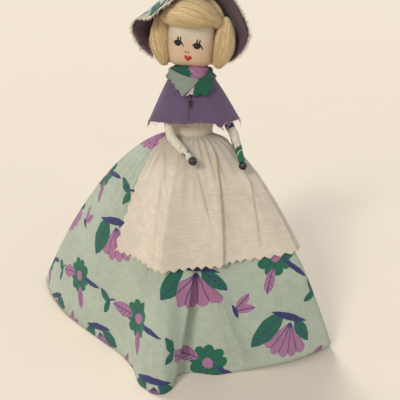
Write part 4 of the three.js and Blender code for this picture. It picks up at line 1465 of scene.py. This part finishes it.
class DOLL_OT_cape(bpy.types.Operator):
    """Make the cape with its frayed hem and the thread knot that closes it"""

    bl_idname = "doll.cape"
    bl_label = "Cape"

    flat_width = 0.11
    flat_length = 0.03
    fray_threads = 260
    fray_thread = 0.1
    # Torn places of the hem: direction, depth and width in degrees
    tears = [(-48, 2.4, 4.5), (-172, 1.6, 6), (-4, 1.2, 5)]
    # Places along the hem with long loose threads: place, number and material
    tassels = [
        (0.239, 16, "loose thread"), (0.772, 18, "cape thread"), (0.117, 8, "cape thread"),
    ]

    def surface(self, degrees, v):
        """A point of the outer side, at a share of the way from the neck to the hem."""
        z = CAPE_TOP - CAPE_LENGTH * v
        buckle = 0.5 * noise.noise(polar(3, degrees, 1.5 * v)) * ease(0.45, 1, v)
        ragged = 0.5 * noise.noise(polar(14, degrees, 0))
        ragged += 0.35 * noise.noise(polar(33, degrees, 0))
        torn = 0
        for middle, depth, width in self.tears:
            away = (degrees - middle + 180) % 360 - 180
            torn += depth * math.exp(-(away / width) ** 2)
        low = ease(0.85, 1, v)
        out = cape_outer(degrees, z) + max(buckle, -0.15) + 0.4 * torn * low
        return polar(out, degrees, z + (ragged - torn) * low)

    def degrees(self, u, v):
        """Direction of a place across the cape, whose front edges wander down the chest."""
        lean = 9 * (1 - ease(0.25, 0.6, v)) - 2.5 * ease(0.6, 1, v)
        return lerp(-90 + CAPE_OPENING, 270 - CAPE_OPENING, u) + lean

    def execute(self, context):
        def point(u, v):
            return self.surface(self.degrees(u, v), v)

        def flat(u, v):
            reach = lerp(12, 38, v)
            turn = 3.6 * u
            return reach * math.cos(turn), reach * math.sin(turn)

        def hem(u):
            here = point(u, 1)
            along = point(u + 0.003, 1) - here
            return here, (here - point(u, 0.95)).normalized(), along.normalized()

        cloth = grid_piece("cape_cloth", 240, 40, point, flat, ["cape cloth"])
        thicken(cloth, COTTON_THICK)
        dress(cloth, "body", "mauve_cloth", "cape")
        longest = sizes().fray / MM
        threads = fray_paths(hem, self.fray_threads, 0.6 * longest, 3)
        pieces = [thread_piece("cape_fray", threads, self.fray_thread, "cape thread")]
        for k, (middle, number, finish) in enumerate(self.tassels):
            def torn(t):
                return hem(middle + 0.03 * (t - 0.5))

            paths = fray_paths(torn, number, 1.2 * longest, 40 + k)
            pieces.append(thread_piece(f"cape_tassel_{k + 1}", paths, 0.13, finish))
        for piece in pieces:
            dress(piece, "body", "mauve_cloth")
        self.make_knot()
        return {"FINISHED"}

    def make_knot(self):
        """An overhand knot with two short ends."""
        middle = polar(cape_outer(-90, CAPE_KNOT_HEIGHT) + FIT + 0.5, -90, CAPE_KNOT_HEIGHT)
        size = CAPE_KNOT_RADIUS / 3
        bight = []
        for k in range(49):
            t = 2 * math.pi * k / 48
            bight.append(middle + size * Vector((
                math.sin(t) + 2 * math.sin(2 * t),
                -math.sin(3 * t),
                math.cos(t) - 2 * math.cos(2 * t),
            )))
        ends = [
            [
                middle + Vector((side * 0.9 * s, -0.3 - 0.5 * s * (1 - s), -0.4 - 2.6 * s))
                for s in (0, 0.3, 0.6, 1)
            ]
            for side in (-1, 1)
        ]
        paths = [bight, *ends]
        knot = thread_piece("cape_knot_thread", paths, 0.3, "dark thread", sides=8, taper=0.9)
        dress(knot, "body", "thread", "cape_knot")


class DOLL_OT_scarf(bpy.types.Operator):
    """Make the scarf: a wrap round the neck and two pinked ends that cross"""

    bl_idname = "doll.scarf"
    bl_label = "Scarf"

    wrap_flat = 74
    wrap_roll = 2
    end_flat = (0.024, 0.0105)
    end_area = 0.00012
    # Name, side, finish, degrees past the meeting line at the neck and at the tips, and lift over
    # the other end
    ends = [("right", -1, "scarf mint", 3, -6, 0.6), ("left", 1, "scarf green", -2, -1, 0)]

    def execute(self, context):
        height = SCARF_RISE + SCARF_HEIGHT

        def point(u, v):
            degrees = 90 + 360 * u
            z = CAPE_TOP + SCARF_RISE - height * v
            folds = noise.noise(polar(1.5, degrees, 5 * v))
            return polar(self.outer(degrees, z) + 0.22 * folds, degrees, z)

        def flat(u, v):
            return self.wrap_flat * (u - 0.5), -height * v

        wrap = grid_piece("scarf_wrap_cloth", 160, 24, point, flat, ["scarf wrap"], wraps=True)
        thicken(wrap, SCARF_THICK)
        dress(wrap, "body", "scarf_cloth", "scarf_wrap")
        for end in self.ends:
            self.make_end(*end)
        return {"FINISHED"}

    def outer(self, degrees, z):
        """Radius of the wrap, whose upper edge is rolled in under the chin."""
        down = (CAPE_TOP + SCARF_RISE - z) / (SCARF_RISE + SCARF_HEIGHT)
        return scarf_outer(degrees, z) - self.wrap_roll * (1 - ease(0, 0.3, down))

    def swoop(self, side, share):
        """Share of the full length. The right end comes to a point, the left hangs as a tab."""
        return ease(0.12, 0.62, share) if side > 0 else share ** SCARF_SWOOP

    def make_end(self, name, side, finish, neck_past, tip_past, lift):
        """One end, from the shoulder to the tip on the chest."""
        teeth = 0.75 * sizes().tooth / MM

        def share_at(u):
            return 1 - u if side > 0 else u

        def point(u, v):
            share = share_at(u)
            meeting = lerp(SCARF_CROSSING + neck_past, SCARF_TIPS + tip_past, v)
            degrees = -90 + lerp(side * SCARF_END_SWEEP, meeting, share)
            top = CAPE_TOP + SCARF_RISE - FIT - SCARF_VEE * share
            drop = lerp(SCARF_END_SIDE, SCARF_END_LENGTH, self.swoop(side, share))
            bottom = CAPE_TOP - FIT - drop
            pinked = teeth * (1 - zigzag(share * SCARF_TEETH + 0.5)) * ease(0.6, 1, v)
            z = lerp(top, bottom + pinked, v)
            curl = 0.5 + 0.5 * noise.noise(Vector((4 * share, 2 * v, side)))
            curl *= 0.5 * ease(0.6, 1, v)
            crossed = lift * ease(0.6, 0.85, share)
            return polar(self.outer(degrees, z) + FIT + CLOTH + curl + crossed, degrees, z)

        def flat(u, v):
            return self.end_flat[0] / MM * share_at(u), -self.end_flat[1] / MM * v

        end = grid_piece(f"scarf_{name}_end_cloth", 80, 24, point, flat, [finish])
        thicken(end, SCARF_THICK)
        dress(end, "body", "scarf_cloth", f"scarf_{name}_end")


class DOLL_OT_arms(bpy.types.Operator):
    """Make the arms: print cloth rolled on wire, with a bead for each hand"""

    bl_idname = "doll.arms"
    bl_label = "Arms"

    around = 36
    along = 110
    turns = 4.5
    elbow_ease = 4
    edge_step = 0.3
    sleeve_ease = 0.27
    bead_hole = 0.75
    # Share of the bead's rows on its outside. The others line its hole
    bead_outside = 0.8
    bead_flat = (14, 7)

    def execute(self, context):
        for name, (shoulder, elbow, hand) in ARMS.items():
            self.make_sleeve(name, shoulder, elbow, hand)
            self.make_bead(name, hand, (hand - elbow).normalized())
        return {"FINISHED"}

    def route(self, shoulder, elbow, hand):
        """Points from under the shoulder to the bead, rounded at the elbow."""
        upper, fore = (elbow - shoulder).normalized(), (hand - elbow).normalized()
        start = shoulder + upper * ARM_BEND
        end = hand - fore * (BEAD_RADIUS - 0.3)
        near, far = elbow - upper * self.elbow_ease, elbow + fore * self.elbow_ease
        first, last = (near - start).length, (end - far).length
        bend = 1.8 * self.elbow_ease
        whole = first + bend + last
        spots = []
        for k in range(self.along + 1):
            run = whole * k / self.along
            if run < first:
                spots.append(start + upper * run)
            elif run < first + bend:
                s = (run - first) / bend
                spots.append(near.lerp(elbow, s).lerp(elbow.lerp(far, s), s))
            else:
                spots.append(far + fore * (run - first - bend))
        return spots, whole

    def make_sleeve(self, name, shoulder, elbow, hand):
        """Cloth rolled on the bias from the shoulder to the bead."""
        spots, whole = self.route(shoulder, elbow, hand)
        rings = list(frames_on(spots))

        def point(u, v):
            spot, side, other = rings[round(v * self.along)]
            turn = -2 * math.pi * u
            radius = lerp(ARM_RADIUS, WRIST_RADIUS, ease(0.55, 1, v)) - self.sleeve_ease
            lap = (u + self.turns * v) % 1
            lumps = 0.12 * noise.noise(spot * 0.35 + Vector((u, 0, 0)))
            radius += self.edge_step * (lap - 0.5) + lumps
            radius *= 1 - 0.35 * ease(0.975, 1, v)
            return spot + (side * math.cos(turn) + other * math.sin(turn)) * radius

        def flat(u, v):
            return SLEEVE_TURN * (u + self.turns * v), -whole * v

        finishes = [f"{name} sleeve print"]
        sleeve = grid_piece(
            f"{name}_sleeve_cloth", self.around, self.along, point, flat, finishes, wraps=True
        )
        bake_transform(sleeve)
        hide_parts(f"{name}_upper_sleeve", f"{name}_forearm_sleeve")

    def make_bead(self, name, hand, axis):
        """A glass bead with its hole along the wire."""
        across = axis.orthogonal().normalized()
        other = axis.cross(across)
        start = math.acos(self.bead_hole / BEAD_RADIUS)
        half = BEAD_RADIUS * math.sin(start)
        outside = self.bead_outside

        def point(u, v):
            turn = 2 * math.pi * u
            if v < outside:
                up = lerp(-start, start, v / outside)
                radius, along = BEAD_RADIUS * math.cos(up), BEAD_RADIUS * math.sin(up)
            else:
                radius, along = self.bead_hole, lerp(half, -half, (v - outside) / (1 - outside))
            return hand + axis * along + (across * math.cos(turn) + other * math.sin(turn)) * radius

        def flat(u, v):
            return self.bead_flat[0] * u, self.bead_flat[1] * v

        bead = grid_piece(f"{name}_bead", 40, 40, point, flat, ["glass bead"], wraps=True)
        bead.data.flip_normals()
        dress(bead, f"{name}_forearm", "bead", f"{name}_hand_bead")


class DOLL_OT_head(bpy.types.Operator):
    """Make the squarish head and its painted face"""

    bl_idname = "doll.head"
    bl_label = "Head and face"

    eyes = [(-5.6, 11.6), (4.2, 10.5)]
    eye_half = (1.8, 1.4)
    lid = [(-1.3, -0.2), (-0.9, 0.55), (0, 0.95), (0.85, 0.6), (1.4, -0.2), (1.85, -0.95)]
    lashes = (-0.15, 0.6)
    lash_length = 2.1
    brush = 0.4
    nose = [(-1.45, 7.5), (0, 7.35)]
    nostril = (0.5, 0.36)
    mouth = (-0.2, 4.6)
    mouth_half = (1.95, 1.7)
    slant = math.radians(-6.5)
    paint_lift = 0.05
    paint_step = 0.02

    def execute(self, context):
        power = 2 / HEAD_SQUARENESS

        def height(v):
            up = math.pi * (0.5 - v)
            return HEAD_HEIGHT / 2 * (1 + math.copysign(abs(math.sin(up)) ** power, up))

        def point(u, v):
            around = 2 * math.pi * u + math.pi / 2
            x, y = math.cos(around), math.sin(around)
            full = (abs(x) ** FACE_FLATNESS + abs(y) ** FACE_FLATNESS) ** (-1 / FACE_FLATNESS)
            radius = HEAD_RADIUS * full * max(math.sin(math.pi * v), 0) ** power
            return in_head(radius * x, radius * y, height(v))

        def flat(u, v):
            return 2 * math.pi * HEAD_RADIUS * u, height(v)

        head = grid_piece("head_form", 96, 72, point, flat, ["painted skin"], wraps=True)
        dress(head, "head_and_bonnet", "skin_cloth", "head")
        self.paint("eyes_and_lashes", self.eye_films(), "eye paint")
        nostrils = [(self.oval(*self.nostril), spot) for spot in self.nose]
        self.paint("nose_dots", nostrils, "nose paint")
        self.paint("mouth_heart", [(self.heart(), self.mouth)], "mouth paint")
        return {"FINISHED"}

    def on_face(self, x, z, lift):
        """A point just proud of the front of the head."""
        height = abs(2 * z / HEAD_HEIGHT - 1)
        radius = HEAD_RADIUS * (1 - height ** HEAD_SQUARENESS) ** (1 / HEAD_SQUARENESS) + lift
        spare = max(radius ** FACE_FLATNESS - abs(x) ** FACE_FLATNESS, 0)
        return in_head(x, -spare ** (1 / FACE_FLATNESS), z)

    def paint(self, name, films, finish):
        """One film of several painted shapes, each slanted with the face and set at its spot."""
        points, faces, corners = [], [], []
        slanted = Matrix.Rotation(-self.slant, 2)
        for layer, ((spots, cells), place) in enumerate(films):
            first = len(points)
            lift = self.paint_lift + self.paint_step * layer
            turned = [Vector(spot) @ slanted + Vector(place) for spot in spots]
            points += [self.on_face(*spot, lift) for spot in turned]
            for cell in cells:
                faces.append([first + index for index in cell])
                corners += [tuple(turned[index]) for index in cell]
        film = new_piece(name, points, faces, corners, [finish])
        thicken(film, PAINT_THICK)
        dress(film, "head_and_bonnet", "skin_cloth")

    def disc(self, outline):
        """A shape filled round its own middle."""
        count = len(outline)
        middle = tuple(sum(values) / count for values in zip(*outline))
        return [middle, *outline], [[0, 1 + k, 1 + (k + 1) % count] for k in range(count)]

    def oval(self, half, high):
        """An oval of half a width and half a height."""
        turns = [2 * math.pi * k / 24 for k in range(24)]
        return self.disc([(half * math.cos(turn), high * math.sin(turn)) for turn in turns])

    def stroke(self, path):
        """A brush stroke along a path, thin at its ends."""
        spots = []
        last = len(path) - 1
        for k, spot in enumerate(path):
            ahead = Vector(path[min(k + 1, last)]) - Vector(path[max(k - 1, 0)])
            half = self.brush * lerp(1, 0.35, abs(2 * k / last - 1) ** 2)
            across = Vector((-ahead.y, ahead.x)).normalized() * half
            spots += [Vector(spot) - across, Vector(spot) + across]
        return spots, [[2 * k, 2 * k + 2, 2 * k + 3, 2 * k + 1] for k in range(last)]

    def eye_films(self):
        """For each eye an iris, a lid that ends in a flick, and upright lashes."""
        half, high = self.eye_half
        lid = self.stroke([(half * x, high * z) for x, z in self.lid])
        shapes = [self.oval(half, high), lid]
        tall = self.lash_length
        for place in self.lashes:
            x, z = place * half, 0.8 * high
            shapes.append(self.stroke([(x, z), (x - 0.05, z + tall / 2), (x + 0.1, z + tall)]))
        return [(shape, eye) for shape in shapes for eye in self.eyes]

    def heart(self):
        """A heart with a low notch, wider than tall."""
        half, high = self.mouth_half
        spots = []
        for k in range(40):
            t = -2 * math.pi * k / 40
            up = 13 * math.cos(t) - 5 * math.cos(2 * t) - 2 * math.cos(3 * t) - math.cos(4 * t)
            up /= 16
            spots.append((-half * math.sin(t) ** 3, high * up))
        return self.disc(spots)


class DOLL_OT_hair(bpy.types.Operator):
    """Make the hair: a roll across the forehead, a curl, a lock at each side and a cap of roving"""

    bl_idname = "doll.hair"
    bl_label = "Hair"

    along = 72
    around = 64
    steps = 14
    fringe_twist = 0.3
    lock_twist = 0.12
    lock_lean = 2.6
    lock_more = 1.8
    curl_radius = 3.2
    nape_lip = 0.93
    roll_flat = 36
    cap_flat = 44
    cap_steps = 10

    def execute(self, context):
        side = HEAD_RADIUS + LOCK_RADIUS / 2
        front = -HEAD_RADIUS - FIT
        low = FRINGE_LEVEL - FRINGE_RADIUS / 2
        ends = [Vector((sign * side, -HAIR_PARTING, low)) for sign in (-1, 1)]
        peak = Vector((0, 2 * front + HAIR_PARTING, FRINGE_LEVEL + FRINGE_RADIUS / 2))

        def fringe(t):
            return ends[0].lerp(peak, t).lerp(peak.lerp(ends[1], t), t)

        def curl(t):
            return fringe(lerp(0.7, 1, t)) + Vector((0.6, -1.6, lerp(1.2, -2.2, t)))

        twist = self.fringe_twist
        self.make_roll("hair_fringe_roving", fringe, FRINGE_RADIUS, twist, 5, "hair_fringe")
        self.make_roll("hair_curl_roving", curl, self.curl_radius, twist, 9)
        for name, sign in (("right", -1), ("left", 1)):
            reach = sign * (HEAD_RADIUS + LOCK_OUT[name])

            def lock(t):
                inward = self.lock_lean * ease(0.5, 1, t) * sign
                height = lerp(LOCK_TOP + self.lock_more, LOCK_FOOT - self.lock_more, t)
                return Vector((reach - inward, -HAIR_PARTING - LOCK_RADIUS / 2, height))

            twist, node = self.lock_twist * sign, f"hair_{name}_lock"
            self.make_roll(f"{node}_roving", lock, LOCK_RADIUS, twist, 7 + sign, node)
        self.make_cap()
        return {"FINISHED"}

    def make_roll(self, name, path, radius, twist, seed, *nodes):
        """A soft body of roving, with fine tufts laid along it and a few that stand off."""
        rings = list(frames_on([path(j / self.along) for j in range(self.along + 1)]))

        def surface(turns, t, lift):
            spot, side, other = rings[min(max(round(t * self.along), 0), self.along)]
            angle = 2 * math.pi * (turns + twist * t)
            broad = noise.noise(polar(1.6, 360 * turns, 0.96 * t) + Vector((seed, 0, 0)))
            lumps = 1 + 0.06 * broad + 0.02 * noise.noise(polar(9, 360 * turns, 5.4 * t))
            swell = radius * math.sin(math.pi * t) ** HAIR_SWELL * lumps + lift
            return in_head(*(spot + (side * math.cos(angle) + other * math.sin(angle)) * swell))

        def point(u, v):
            return surface(-u, v, -0.05)

        def flat(u, v):
            return 2 * math.pi * radius * u, self.roll_flat * v

        body = grid_piece(name, self.around, self.along, point, flat, ["hair roving"], wraps=True)
        dress(body, "head_and_bonnet", "roving", *nodes)
        draw = random.Random(seed)
        tufts = []
        for _ in range(sizes().tufts):
            turns, start = draw.random(), draw.uniform(0.0, 0.6)
            end = start + draw.uniform(0.25, 0.4 + 0.6 * (1 - start))
            drift, lift = draw.uniform(-0.06, 0.06), draw.uniform(-0.05, 0.04)
            stray = draw.uniform(0, 1.05) ** 6
            tuft = []
            for k in range(self.steps + 1):
                share = k / self.steps
                place = min(lerp(start, end, share), 0.985)
                tuft.append(surface(turns + drift * share, place, lift + stray * share ** 2))
            tufts.append(tuft)
        strands = thread_piece(f"{name}_tufts", tufts, sizes().fibre / MM, "hair tuft", sides=3)
        dress(strands, "head_and_bonnet", "roving")

    def make_cap(self):
        """Roving from the top of the head down to the nape, cut off in front at the parting."""
        middle = HEAD_HEIGHT / 2
        reach, rise = HEAD_RADIUS + HAIR_COVER, middle + HAIR_COVER
        foot = math.acos((HAIR_NAPE - middle) / rise)

        def surface(u, v, lift):
            """u runs round the head from its front, v from its top down to the nape."""
            turn, down = 2 * math.pi * (u + 0.5), lerp(0.03, foot, v)
            spread = Vector((math.cos(turn), math.sin(turn), 0.4 * v))
            lumps = 0.3 * noise.noise(spread * 3) + 0.2 * noise.noise(spread * 12)
            ring = (reach + lumps + lift) * math.sin(down)
            y = max(ring * math.cos(turn), -HAIR_PARTING)
            height = middle + (rise + lumps + lift) * math.cos(down)
            return in_head(-ring * math.sin(turn), y, height)

        def point(u, v):
            spot = surface(u, min(v / self.nape_lip, 1), 0)
            return spot.lerp(in_head(0, 0, 2 * HAIR_NAPE), 0.4 * ease(self.nape_lip, 1, v))

        def flat(u, v):
            return 2 * math.pi * reach * u, self.cap_flat * v

        cap = grid_piece("hair_cap_roving", 120, 48, point, flat, ["hair roving"], wraps=True)
        dress(cap, "head_and_bonnet", "roving", "hair_cap")
        draw = random.Random(11)
        shares = [k / self.cap_steps for k in range(self.cap_steps + 1)]
        tufts = []
        for _ in range(2 * sizes().tufts):
            u, start = draw.uniform(0.22, 0.78), draw.uniform(0.2, 0.7)
            end, drift = min(start + draw.uniform(0.2, 0.5), 1), draw.uniform(-0.02, 0.02)
            lift = draw.uniform(-0.05, 0.08)
            tufts.append([surface(u + drift * s, lerp(start, end, s), lift) for s in shares])
        strands = thread_piece("hair_cap_tufts", tufts, sizes().fibre / MM, "hair tuft", sides=3)
        dress(strands, "head_and_bonnet", "roving")


class DOLL_OT_bonnet(bpy.types.Operator):
    """Make the bonnet: a print brim with a plain lining, a frayed rim and a gathered crown"""

    bl_idname = "doll.bonnet"
    bl_label = "Bonnet"

    columns = 180
    rows = 36
    brim_flat = (128, 19)
    crown_gathers = 34
    crown_flat = 50
    fray_threads = 1100

    def rim_wave(self, u, v):
        """Unevenness of the rim: out of the brim and along it."""
        near = 1 - ease(0, 0.35, v)
        out = 0.7 * near * noise.noise(Vector((9 * u, 0, 3)))
        return out, 0.8 * near * noise.noise(Vector((26 * u, 0, 9)))

    def brim(self, u, v, inset):
        """A point of the uneven brim, at a distance inside its outer side."""
        out, forward = self.rim_wave(u, v)
        point = brim_point(u, v, inset - out)
        return in_head(point.x, point.y - forward, point.z)

    def execute(self, context):
        def outside(u, v):
            return self.brim(u, v, 0)

        def inside(u, v):
            return self.brim(1 - u, v, 2 * CLOTH + FIT)

        flat = flat_sheet(*self.brim_flat)
        grid = (self.columns, self.rows)
        brim = grid_piece("bonnet_brim_cloth", *grid, outside, flat, ["bonnet print"])
        thicken(brim, COTTON_THICK)
        dress(brim, "head_and_bonnet", "print_cloth", "bonnet_brim")
        lining = grid_piece("bonnet_lining_cloth", *grid, inside, flat, ["bonnet lining"])
        thicken(lining, COTTON_THICK)
        dress(lining, "head_and_bonnet", "mauve_cloth", "bonnet_lining")

        def rim(t):
            u = min(max(t, 0.002), 0.998)
            here, back = self.brim(u, 0, 0.5), self.brim(u, 0.06, 0.5)
            along = self.brim(u + 0.002, 0, 0.5) - here
            return here, (here - back).normalized(), along.normalized()

        threads = fray_paths(rim, self.fray_threads, 0.8 * sizes().fray / MM, 21)
        fray = thread_piece("bonnet_fray", threads, 1.2 * sizes().thread / MM, "loose thread")
        dress(fray, "head_and_bonnet", "thread")
        self.make_crown()
        return {"FINISHED"}

    def make_crown(self):
        """Crown, gathered along the brim and drawn together behind."""
        closing = math.acos(CROWN_HOLE / GATHER_HALF)

        def point(u, v):
            around = math.cos(v * closing) ** CROWN_FULLNESS
            pleat = wave(self.crown_gathers * u + 0.4 * noise.noise(Vector((9 * u, 2 * v, 1))))
            depth = 0.9 * pleat * (1 - 0.75 * math.sin(math.pi * v) ** 1.5)
            y = GATHER_SET_BACK + FIT + CROWN_DEPTH * math.sin(v * closing) - 0.5 * depth * v
            reach = math.radians(NAPE_ARCH)
            whole = (GATHER_HALF, GATHER_RISE, GATHER_FALL)
            half, rise, fall = ((size - depth) * around for size in whole)
            return in_head(*arch_point(lerp(reach, -reach, u), half, rise, fall, y))

        def flat(u, v):
            turn, reach = math.pi * u, self.crown_flat * (1.05 - v)
            return reach * math.cos(turn), reach * math.sin(turn)

        finishes = ["bonnet print", "print wrong side"]
        crown = grid_piece("bonnet_crown_cloth", 272, 40, point, flat, finishes)
        thicken(crown, COTTON_THICK)
        dress(crown, "head_and_bonnet", "print_cloth", "bonnet_crown")


OPERATORS = (
    DOLL_OT_stage, DOLL_OT_wood_and_wire, DOLL_OT_skirt, DOLL_OT_apron, DOLL_OT_bow,
    DOLL_OT_bodice, DOLL_OT_cape, DOLL_OT_scarf, DOLL_OT_arms, DOLL_OT_head, DOLL_OT_hair,
    DOLL_OT_bonnet,
)


class DOLL_PT_dress(bpy.types.Panel):
    """Lists the doll's sizes, colours and pieces"""

    bl_label = "Cloth doll"
    bl_idname = "DOLL_PT_dress"
    bl_space_type = "VIEW_3D"
    bl_region_type = "UI"
    bl_category = "Doll"

    def draw(self, context):
        for group in (context.scene.doll_sizes, context.scene.doll_colours):
            for name in group.__annotations__:
                self.layout.prop(group, name)
        for operator in OPERATORS:
            self.layout.operator(operator.bl_idname)


CLASSES = (DollSizes, DollColours, *OPERATORS, DOLL_PT_dress)


def register():
    """Register the classes and the scene's properties."""
    for each in CLASSES:
        bpy.utils.register_class(each)
    bpy.types.Scene.doll_sizes = PointerProperty(type=DollSizes)
    bpy.types.Scene.doll_colours = PointerProperty(type=DollColours)


def unregister():
    """Remove the scene's properties and the classes."""
    del bpy.types.Scene.doll_colours
    del bpy.types.Scene.doll_sizes
    for each in reversed(CLASSES):
        bpy.utils.unregister_class(each)


def main():
    """Make the materials, the stage and every piece."""
    register()
    make_materials()
    for operator in OPERATORS:
        family, name = operator.bl_idname.split(".")
        getattr(getattr(bpy.ops, family), name)()


if __name__ == "__main__":
    main()
